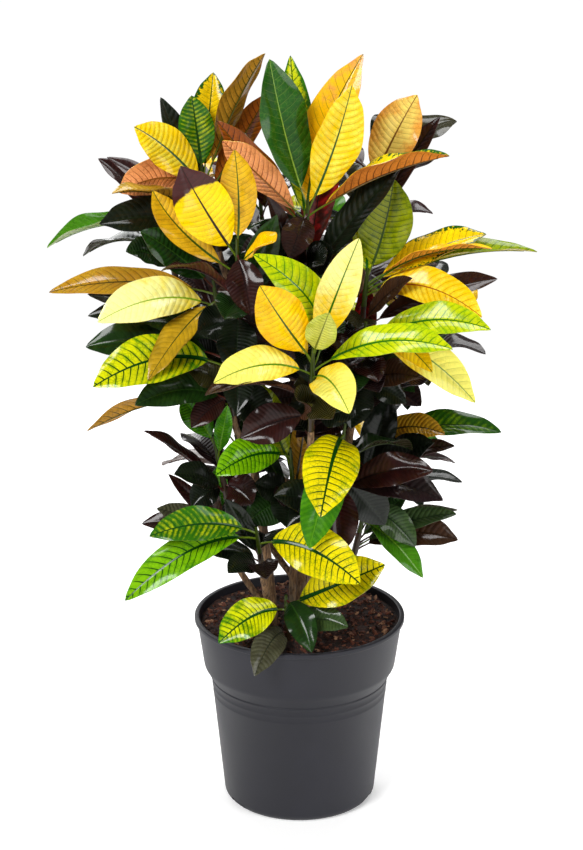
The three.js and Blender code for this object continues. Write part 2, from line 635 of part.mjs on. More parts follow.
for (const [name, shoot] of Object.entries(SHOOTS)) {
  ['young', 'old'].forEach((age, turn) => {
    shoot[age].forEach((row, i) => {
      const root = rootOn(sections[name][`${age}Span`], i, shoot[age].length + shoot.ruled[turn]);
      growLeaf(root, placedLeaf(shoot, row), `${name}_${age}`);
    });
  });
}
for (const [name, shoot] of Object.entries(SHOOTS)) {
  ['young', 'old'].forEach((age, turn) => {
    const laidOut = shoot[age].length;
    for (let i = 0; i < shoot.ruled[turn]; i += 1) {
      const root = rootOn(sections[name][`${age}Span`], laidOut + i, laidOut + shoot.ruled[turn]);
      growLeaf(root, ruledLeaf(shoot, age, i), `${name}_${age}`);
    }
  });
}

const croton = new THREE.Group();
croton.add(meshOf('pot', potSolid, COLOURS.pot, 0.5));
croton.add(meshOf('soil', soilSolid, COLOURS.soil, 0.95));
for (const [name, solid] of Object.entries(woodySolids)) {
  croton.add(meshOf(`woody_stem_${name}`, solid, COLOURS.wood, 0.8));
}
for (const name of Object.keys(SHOOTS)) {
  for (const age of ['young', 'old']) {
    const owner = `${name}_${age}`;
    const own = leaves.filter((leaf) => leaf.owner === owner).map((leaf) => leaf.whole);
    const solid = wasm.Manifold.union([sections[name][age], ...own]).simplify(SLACK);
    croton.add(meshOf(`shoot_${name.slice(1)}_${age}_leaves`, solid, COLOURS[age], 0.4));
  }
}

export default croton;
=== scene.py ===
# %% [markdown]
# A potted croton, dressed for its portrait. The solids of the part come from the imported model,
# and this script puts the real plant's finish round them: veined leathery blades, bark, damp
# potting soil and satin plastic.
#
# The leaves are the subject. Each is made as its own blade, in the place, size and bend that
# the solid has, so this script repeats the few tables and rules by which the plant was laid out.

# %% Load the frame
import math
import random

import bmesh
import bpy
from mathutils import Matrix, Vector, noise
from mathutils.bvhtree import BVHTree
from mathutils.kdtree import KDTree


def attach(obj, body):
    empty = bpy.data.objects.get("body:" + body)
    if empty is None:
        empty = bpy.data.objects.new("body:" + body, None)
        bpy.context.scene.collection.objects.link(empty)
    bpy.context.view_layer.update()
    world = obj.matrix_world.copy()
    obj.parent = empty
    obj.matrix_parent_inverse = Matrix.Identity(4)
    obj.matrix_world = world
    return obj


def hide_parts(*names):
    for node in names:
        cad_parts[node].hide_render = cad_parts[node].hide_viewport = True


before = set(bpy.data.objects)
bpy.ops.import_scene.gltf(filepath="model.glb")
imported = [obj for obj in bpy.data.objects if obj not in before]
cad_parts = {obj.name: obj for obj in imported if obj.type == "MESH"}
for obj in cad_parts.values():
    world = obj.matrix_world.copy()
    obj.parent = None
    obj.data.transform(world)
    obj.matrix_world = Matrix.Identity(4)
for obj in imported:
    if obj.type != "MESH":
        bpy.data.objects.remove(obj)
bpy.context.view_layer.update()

MM = 0.001

# %% [markdown]
# The camera stands where the photographer stood: 2.5 m in front of the pot and a little above
# the plant, looking down by 18 degrees through a portrait lens. The lens is given by the field
# of view that the picture's height covers, and a slight sideways shift centres the pot.

# %% Camera
PICTURE_WIDTH, PICTURE_HEIGHT = 583, 850
CAMERA_DISTANCE, CAMERA_HEIGHT = 2.53, 1.29
CAMERA_PITCH = math.radians(18.4)
FOCAL_PIXELS = 2392
POT_MIDDLE_COLUMN = 299.5
SENSOR_HEIGHT = 24

camera_data = bpy.data.cameras.new("portrait_camera")
camera = bpy.data.objects.new("portrait_camera", camera_data)
bpy.context.scene.collection.objects.link(camera)
camera.location = (0, -CAMERA_DISTANCE, CAMERA_HEIGHT)
camera.rotation_euler = (math.pi / 2 - CAMERA_PITCH, 0, 0)
camera_data.sensor_fit = "VERTICAL"
camera_data.sensor_height = SENSOR_HEIGHT
camera_data.lens = FOCAL_PIXELS * SENSOR_HEIGHT / PICTURE_HEIGHT
camera_data.shift_x = (PICTURE_WIDTH / 2 - POT_MIDDLE_COLUMN) / PICTURE_HEIGHT
bpy.context.scene.camera = camera
print("camera lens:", round(camera_data.lens, 1), "mm")

# %% [markdown]
# Materials are built from nodes. A small helper adds a node, sets its plain values and plugs in
# whatever feeds it, so each finish below reads as a short list of steps.

# %% Helpers for materials
def srgb(red, green, blue):
    """A colour read off as 0 to 255, as the linear numbers that shaders take."""
    shares = [c / 255 for c in (red, green, blue)]
    return tuple(c / 12.92 if c <= 0.04045 else ((c + 0.055) / 1.055) ** 2.4 for c in shares)

class Finish:
    """A material, or the world, whose nodes are added one by one in front of its main shader."""

    def __init__(self, owner):
        owner.use_nodes = True
        self.material = owner
        self.tree = owner.node_tree
        shaders = [n for n in self.tree.nodes if n.type in ("BSDF_PRINCIPLED", "BACKGROUND")]
        self.shader = shaders[0]

    def add(self, kind, settings=None, **inputs):
        """Adds a node. Inputs are named with _ for a space, or as in0, in1 by their order."""
        node = self.tree.nodes.new(kind)
        for key, value in (settings or {}).items():
            setattr(node, key, value)
        for key, value in inputs.items():
            if key.startswith("in") and key[2:].isdigit():
                self.plug(node.inputs[int(key[2:])], value)
            else:
                self.plug(node.inputs[key.replace("_", " ")], value)
        return node

    def plug(self, socket, value):
        if isinstance(value, bpy.types.NodeSocket):
            self.tree.links.new(value, socket)
        elif hasattr(socket.default_value, "__len__") and len(value) < len(socket.default_value):
            socket.default_value = (*value, 1)
        else:
            socket.default_value = value

    def wear(self, **inputs):
        """Sets or plugs inputs of the main shader, named with _ for a space."""
        for key, value in inputs.items():
            self.plug(self.shader.inputs[key.replace("_", " ")], value)

    def math(self, operation, a, b=0.0, c=0.0):
        return self.add("ShaderNodeMath", {"operation": operation}, in0=a, in1=b, in2=c).outputs[0]

    def ramp(self, value, low, high, to_low=0.0, to_high=1.0):
        """A value eased from one range to another, and held at its ends."""
        node = self.add("ShaderNodeMapRange", {"interpolation_type": "SMOOTHSTEP"}, Value=value)
        for key, number in zip(("From Min", "From Max", "To Min", "To Max"), (low, high, to_low, to_high)):
            self.plug(node.inputs[key], number)
        return node.outputs["Result"]

    def mix(self, share, a, b, blend="MIX"):
        node = self.add("ShaderNodeMix", {"data_type": "RGBA", "blend_type": blend})
        self.plug(node.inputs["Factor"], share)
        self.plug(node.inputs[6], a)
        self.plug(node.inputs[7], b)
        return node.outputs[2]

    def place(self, scale=(1, 1, 1)):
        """Object coordinates in metres, stretched."""
        coordinates = self.add("ShaderNodeTexCoord").outputs["Object"]
        return self.add("ShaderNodeMapping", Vector=coordinates, Scale=scale).outputs["Vector"]

    def noise(self, vector, scale, detail=3.0, roughness=0.55):
        node = self.add("ShaderNodeTexNoise", Vector=vector, Scale=scale, Detail=detail, Roughness=roughness)
        return node.outputs["Fac"]

    def bump(self, height, strength, distance, after=None):
        node = self.add("ShaderNodeBump", Height=height, Strength=strength, Distance=distance)
        if after is not None:
            self.plug(node.inputs["Normal"], after)
        return node.outputs["Normal"]

    def attribute(self, name):
        return self.add("ShaderNodeAttribute", {"attribute_name": name})

def new_finish(name):
    return Finish(bpy.data.materials.new(name))

def show(bm, name, material, slot, *nodes):
    """Makes a finished piece of a bmesh, which rides on the part and stands for the named solids."""
    mesh = bpy.data.meshes.new(name)
    bm.to_mesh(mesh)
    bm.free()
    mesh.materials.append(material)
    piece = bpy.data.objects.new(name, mesh)
    bpy.context.scene.collection.objects.link(piece)
    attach(piece, "root")
    if nodes:
        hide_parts(*nodes)
    return piece

# %% [markdown]
# A studio for a plant is white and soft: a pale floor, a surround that is white below the horizon
# and dimmer above it, a large lamp high on the left that draws the gloss on the leaves, and weaker
# ones on the right and behind. The plain view transform keeps the yellows bright.

# %% Floor, surround and lamps
FLOOR_RADIUS = 1.7
FLOOR_GLOW = 0.3
SURROUND_BELOW, SURROUND_ABOVE = 1.02, 0.15

def add_lamp(name, place, aim, size, power, colour=(1, 1, 1)):
    """A square soft lamp at a place, turned to shine at a point."""
    data = bpy.data.lights.new(name, "AREA")
    data.size, data.energy, data.color = size, power, colour
    lamp = bpy.data.objects.new(name, data)
    lamp.location = place
    lamp.rotation_euler = (Vector(aim) - Vector(place)).to_track_quat("-Z", "Y").to_euler()
    bpy.context.scene.collection.objects.link(lamp)
    return lamp

floor_mesh = bpy.data.meshes.new("studio_floor")
bm = bmesh.new()
bmesh.ops.create_circle(bm, cap_ends=True, segments=96, radius=FLOOR_RADIUS)
bm.to_mesh(floor_mesh)
bm.free()
floor = bpy.data.objects.new("studio_floor", floor_mesh)
bpy.context.scene.collection.objects.link(floor)
floor_finish = new_finish("studio_floor")
floor_finish.wear(
    Base_Color=(0.95, 0.95, 0.95), Roughness=0.9, Emission_Color=(1, 1, 1), Emission_Strength=FLOOR_GLOW)
floor_mesh.materials.append(floor_finish.material)

surround = Finish(bpy.data.worlds.new("studio_surround"))
direction = surround.add("ShaderNodeTexCoord").outputs["Generated"]
height = surround.add("ShaderNodeSeparateXYZ", Vector=direction).outputs["Z"]
surround.wear(Color=(1, 1, 1), Strength=surround.ramp(height, -0.1, 0.02, SURROUND_BELOW, SURROUND_ABOVE))
bpy.context.scene.world = surround.material
bpy.context.scene.view_settings.view_transform = "Standard"

CROWN_MIDDLE = (0, 0, 0.55)
add_lamp("key_lamp", (-1.3, -1.9, 2.2), CROWN_MIDDLE, 1.1, 66)
add_lamp("fill_lamp", (1.9, -1.5, 1.3), CROWN_MIDDLE, 1.4, 27)
add_lamp("top_lamp", (0.3, 0.9, 2.5), CROWN_MIDDLE, 1.3, 42)
add_lamp("back_lamp", (-0.9, 2.4, 1.5), CROWN_MIDDLE, 1.4, 28)

# %% [markdown]
# The pot is moulded from anthracite plastic. Its profile is turned once round: a rolled lip, a
# tall collar, a shoulder with a bead at its foot, two fine rings below, and a rounded foot. Spin
# is the tool for such a shape. The drain notches round the foot are cut out with a Boolean.

# %% Pot
POT = {
    "height": 222, "rim_radius": 120, "lip_height": 5.5, "lip_reach": 3,
    "collar_foot": 163, "collar_foot_radius": 109.5, "shoulder_foot": 149, "shoulder_radius": 101.5,
    "base_radius": 87, "base_round": 5, "wall": 2.6, "floor": 3.4,
}
POT_SEGMENTS = 112
RINGS = ((147.2, 0.5), (138, 0.25), (129, 0.25))   # height and rise of the fine rings
RING_HALF = 1.3
WALL_LOW, WALL_HIGH = 60, 180   # heights on the wall's straight parts
SLOTS = {"count": 3, "width": 27, "height": 8, "depth": 8, "turn": -25, "below": 0.3}

def line_radius(z, corners):
    """The radius at a height, along straight lines between corners of radius and height."""
    for (r0, z0), (r1, z1) in zip(corners, corners[1:]):
        if z <= z1:
            return r0 + (r1 - r0) * (z - z0) / (z1 - z0)
    return corners[-1][0]

OUTER_LINE = [
    (POT["base_radius"], 0), (POT["shoulder_radius"], POT["shoulder_foot"]),
    (POT["collar_foot_radius"], POT["collar_foot"]), (POT["rim_radius"] - POT["lip_reach"], POT["height"]),
]

def inner_radius(z):
    return line_radius(z, OUTER_LINE) - POT["wall"]

def rounded(before, corner, after, radius, steps=4):
    """A corner of a profile, eased by a quadratic curve that starts and ends a radius away."""
    before, corner, after = Vector(before), Vector(corner), Vector(after)
    start = corner + (before - corner).normalized() * radius
    end = corner + (after - corner).normalized() * radius
    curve = []
    for i in range(steps + 1):
        t = i / steps
        curve.append(start * (1 - t) ** 2 + corner * 2 * t * (1 - t) + end * t ** 2)
    return curve

def pot_profile():
    """The pot's section, from the middle of its floor, over the lip, to its underside."""
    height, rim = POT["height"], POT["rim_radius"]
    neck, lip_foot, base = rim - POT["lip_reach"], height - POT["lip_height"], POT["base_radius"]
    inner_levels = (WALL_LOW, POT["shoulder_foot"], POT["collar_foot"], WALL_HIGH, height)
    low, inner_shoulder, inner_collar, high, inner_rim = [(inner_radius(z), z) for z in inner_levels]
    collar = (POT["collar_foot_radius"], POT["collar_foot"])
    shoulder = (POT["shoulder_radius"], POT["shoulder_foot"])
    foot, floor_edge = (base, POT["base_round"]), (inner_radius(0), POT["floor"])
    rings = []
    for z, most in RINGS:
        for offset, rise in ((RING_HALF, 0), (RING_HALF / 2, most), (-RING_HALF / 2, most), (-RING_HALF, 0)):
            rings.append((line_radius(z + offset, [foot, shoulder]) + rise, z + offset))
    corners = [
        [(0, POT["floor"])], rounded((0, POT["floor"]), floor_edge, low, 5),
        rounded(low, inner_shoulder, inner_collar, 5), rounded(inner_shoulder, inner_collar, inner_rim, 5),
        rounded(high, (neck - POT["wall"], height), (rim, height), 1.2),
        rounded((neck, height), (rim, height), (rim, 0), 1.6),
        rounded((rim, height), (rim, lip_foot), (neck, lip_foot), 1.6),
        rounded((rim, lip_foot), (neck, lip_foot - 0.2), collar, 0.8),
        rounded((neck, height), collar, shoulder, 2.6), rounded(collar, shoulder, foot, 0.7, 3),
        rings, rounded(shoulder, foot, (base - 5, 0), 3, 4), rounded(foot, (base - 5, 0), (0, 0), 2, 4),
        [(0, 0)],
    ]
    return [tuple(p) for part in corners for p in part]

def spun(bm, profile, segments):
    """Turns a profile of radius and height in millimetres once round the upright axis."""
    verts = [bm.verts.new((r * MM, 0, z * MM)) for r, z in profile]
    edges = [bm.edges.new(pair) for pair in zip(verts, verts[1:])]
    bmesh.ops.spin(
        bm, geom=verts + edges, cent=(0, 0, 0), axis=(0, 0, 1), angle=math.tau, steps=segments,
        use_merge=True, use_duplicate=False,
    )
    bmesh.ops.remove_doubles(bm, verts=bm.verts, dist=1e-6)
    bmesh.ops.recalc_face_normals(bm, faces=bm.faces)

def sharpen(bm, degrees):
    """Smooth shading, with a crease wherever two faces meet at more than this angle."""
    for face in bm.faces:
        face.smooth = True
    for edge in bm.edges:
        edge.smooth = len(edge.link_faces) != 2 or edge.calc_face_angle(0) < math.radians(degrees)

def cut(bm, cutter):
    """What is left of a shape when the shape of another bmesh is taken from it."""
    held = []
    for name, shape in (("kept", bm), ("taken", cutter)):
        mesh = bpy.data.meshes.new(name)
        shape.to_mesh(mesh)
        shape.free()
        held.append(bpy.data.objects.new(name, mesh))
        bpy.context.scene.collection.objects.link(held[-1])
    boolean = held[0].modifiers.new("slots", "BOOLEAN")
    boolean.object, boolean.operation, boolean.solver = held[1], "DIFFERENCE", "EXACT"
    evaluated = held[0].evaluated_get(bpy.context.evaluated_depsgraph_get())
    left = bmesh.new()
    left.from_mesh(evaluated.to_mesh())
    for one in held:
        bpy.data.objects.remove(one)
    return left

bm = bmesh.new()
spun(bm, pot_profile(), POT_SEGMENTS)
slot_shapes = bmesh.new()
for i in range(SLOTS["count"]):
    turn = Matrix.Rotation(math.radians(SLOTS["turn"]) + i * math.tau / SLOTS["count"], 4, "Z")
    middle = Vector((POT["base_radius"], 0, SLOTS["height"] / 2 - SLOTS["below"])) * MM
    size = Matrix.Diagonal((SLOTS["depth"] * MM, SLOTS["width"] * MM, SLOTS["height"] * MM, 1))
    bmesh.ops.create_cube(slot_shapes, size=1, matrix=turn @ Matrix.Translation(middle) @ size)
bm = cut(bm, slot_shapes)
sharpen(bm, 40)

# %% [markdown]
# Anthracite nursery plastic is satin, not shiny: its gloss is broad and broken by the mould's
# fine grain, and a little dust lies on it as a slightly lighter haze.

# %% Pot plastic
plastic = new_finish("anthracite_plastic")
spot = plastic.place()
haze = plastic.noise(spot, 9, 4)
grain = plastic.noise(spot, 1400, 2)
tone = plastic.mix(plastic.ramp(haze, 0.35, 0.7), srgb(28, 28, 35), srgb(35, 35, 43))
plastic.wear(
    Base_Color=tone, Roughness=plastic.ramp(haze, 0.3, 0.7, 0.46, 0.56), Specular_IOR_Level=0.35,
    Normal=plastic.bump(grain, 0.25, 0.0004))
pot = show(bm, "nursery_pot", plastic.material, "pot_plastic", "pot")
print("pot faces:", len(pot.data.polygons))

# %% [markdown]
# Potting soil is bark fibre and peat: a lumpy dark brown surface, a little higher in the middle,
# with loose chips on it. The bed is a spun disc whose points are moved up and down by noise, and
# the chips are small crushed balls with few faces, scattered by a seeded draw.

# %% Soil
SOIL = {"edge_level": 214, "level": 218, "rise_radius": 86, "depth": 160}
SOIL_RINGS, SOIL_SEGMENTS = 34, 120
LUMPS, CLODS, LUMPS_AT_EDGE = (0.06, 3.4), (0.22, 1.5), 0.4   # how close they are and how high
CHIP_COUNT, CHIP_SEED = 1600, 407
CHIP_SIZES = (1.2, 3.6)   # half lengths in millimetres
CHIP_STRETCH, CHIP_LEAN = ((0.9, 2.0), (0.5, 1.0), (0.35, 0.8)), 0.6

def soil_height(x, y):
    """The soil's surface in millimetres above the floor, at a place in plan."""
    edge = inner_radius(SOIL["edge_level"])
    out = min(1, max(0, (math.hypot(x, y) - SOIL["rise_radius"]) / (edge - SOIL["rise_radius"])))
    level = SOIL["level"] - 1.2 - (SOIL["level"] - SOIL["edge_level"]) * out ** 1.5
    lumps = noise.fractal(Vector((x, y, 0)) * LUMPS[0], 1.0, 2.0, 4) * LUMPS[1]
    clods = noise.noise(Vector((x, y, 50)) * CLODS[0]) * CLODS[1]
    return level + (lumps + clods) * (1 - (1 - LUMPS_AT_EDGE) * out)

bm = bmesh.new()
bm.verts.layers.float.new("tone")   # 0 all over the bed, and more on every chip
soil_edge = inner_radius(SOIL["edge_level"]) - 0.4
surface = [(soil_edge * i / SOIL_RINGS, SOIL["edge_level"]) for i in range(SOIL_RINGS + 1)]
wall = [(inner_radius(z) - 0.5, z) for z in (200, 180, SOIL["depth"])]
spun(bm, surface + wall + [(0, SOIL["depth"])], SOIL_SEGMENTS)
for vert in bm.verts:
    if vert.co.z > (SOIL["edge_level"] - 1) * MM:
        vert.co.z = soil_height(vert.co.x / MM, vert.co.y / MM) * MM
sharpen(bm, 80)

soil_finish = new_finish("potting_soil")
spot = soil_finish.place()
lumps = soil_finish.noise(spot, 150, 5, 0.7)
fibres = soil_finish.noise(soil_finish.place((1, 0.35, 1)), 520, 3, 0.6)
damp = soil_finish.mix(soil_finish.ramp(lumps, 0.4, 0.66), srgb(20, 9, 6), srgb(66, 34, 23))
dry = soil_finish.mix(soil_finish.ramp(fibres, 0.6, 0.78), damp, srgb(112, 66, 46))
tone = soil_finish.attribute("tone").outputs["Fac"]
chip = soil_finish.mix(soil_finish.ramp(tone, 0.2, 0.75), srgb(46, 21, 14), srgb(112, 60, 40))
chip = soil_finish.mix(soil_finish.ramp(tone, 0.8, 1.0), chip, srgb(186, 140, 106))
chip = soil_finish.mix(soil_finish.ramp(fibres, 0.35, 0.7, 0.0, 0.4), chip, srgb(30, 14, 9))
colour = soil_finish.mix(soil_finish.ramp(tone, 0.04, 0.08), dry, chip)
rough = soil_finish.bump(lumps, 0.9, 0.004)
soil_finish.wear(Base_Color=colour, Roughness=0.9, Normal=soil_finish.bump(fibres, 0.5, 0.0015, rough))
soil_bed = show(bm, "soil_bed", soil_finish.material, "potting_soil", "soil")

chip_draw = random.Random(CHIP_SEED)
bm = bmesh.new()
tone_layer = bm.verts.layers.float.new("tone")
for _ in range(CHIP_COUNT):
    bearing = chip_draw.uniform(0, math.tau)
    out = (soil_edge - 5) * math.sqrt(chip_draw.random())
    x, y = out * math.cos(bearing), out * math.sin(bearing)
    size = CHIP_SIZES[0] + (CHIP_SIZES[1] - CHIP_SIZES[0]) * chip_draw.random() ** 2
    stretch = Vector(chip_draw.uniform(*limits) for limits in CHIP_STRETCH)
    turn = Matrix.Rotation(chip_draw.uniform(0, math.tau), 4, "Z")
    turn = turn @ Matrix.Rotation(chip_draw.uniform(-CHIP_LEAN, CHIP_LEAN), 4, "Y")
    place = Matrix.Translation(Vector((x, y, soil_height(x, y) + size * 0.3)) * MM)
    made = bmesh.ops.create_icosphere(bm, subdivisions=1, radius=size * MM)["verts"]
    shade = chip_draw.uniform(0.1, 1.0)
    for vert in made:
        vert.co *= chip_draw.uniform(0.7, 1.15)
        vert[tone_layer] = shade
    bmesh.ops.transform(bm, matrix=place @ turn @ Matrix.Diagonal((*stretch, 1)), verts=made)
sharpen(bm, 30)
chips = show(bm, "soil_chips", soil_finish.material, "potting_soil")
print("soil faces:", len(soil_bed.data.polygons), "chip faces:", len(chips.data.polygons))

# %% [markdown]
# The plant's plan. Five trunks climb out of the soil, each along one smooth curve, and carry
# limbs that end at the foot of a leafy shoot. These tables are the part's own, in millimetres,
# with the look of each leaf added at the end of its row.

# %% Trunks
STEM_DEPTH, SEAT = 44, 0.3
TRUNK_RADII, LIMB_RADII, SHOOT_RADII = (6, 4), (4, 3.6), (3.6, 3, 1.6)
LIMB_BEND = 0.45
TRUNKS = {
    "front_left": (520, [(-28, -22), (-30, -26), (-50, -46), (-64, -56)]),
    "middle": (588, [(-2, 10), (8, 18), (2, 4), (-2, -6)]),
    "right": (522, [(28, -2), (40, -10), (48, -4), (62, -12)]),
    "front": (450, [(8, -34), (12, -40), (20, -70), (16, -96)]),
    "back": (542, [(-8, 42), (-4, 50), (-6, 80), (-8, 96)]),
}

# %% [markdown]
# A row is one leaf: how far it leans from upright, how long it is seen, how far its tip comes
# forward, where its upper side looks (0 up, 90 forward), how its middle is lifted, its width, and
# its look. Some rows also say how far its middle is pushed sideways, how far its upper side is
# turned to the right and how far its halves fold up. `ruled` counts the leaves placed by rule.

# %% Shoots and their leaves
def leafy_shoot(tip, foot, trunk, fork, ruled, open, spread, young=(), old=()):
    """A leafy shoot: its stem's ends, what it forks from and how high, and its leaves."""
    return dict(tip=tip, foot=foot, trunk=trunk, fork=fork, ruled=ruled, open=open, spread=spread,
                young=young, old=old)

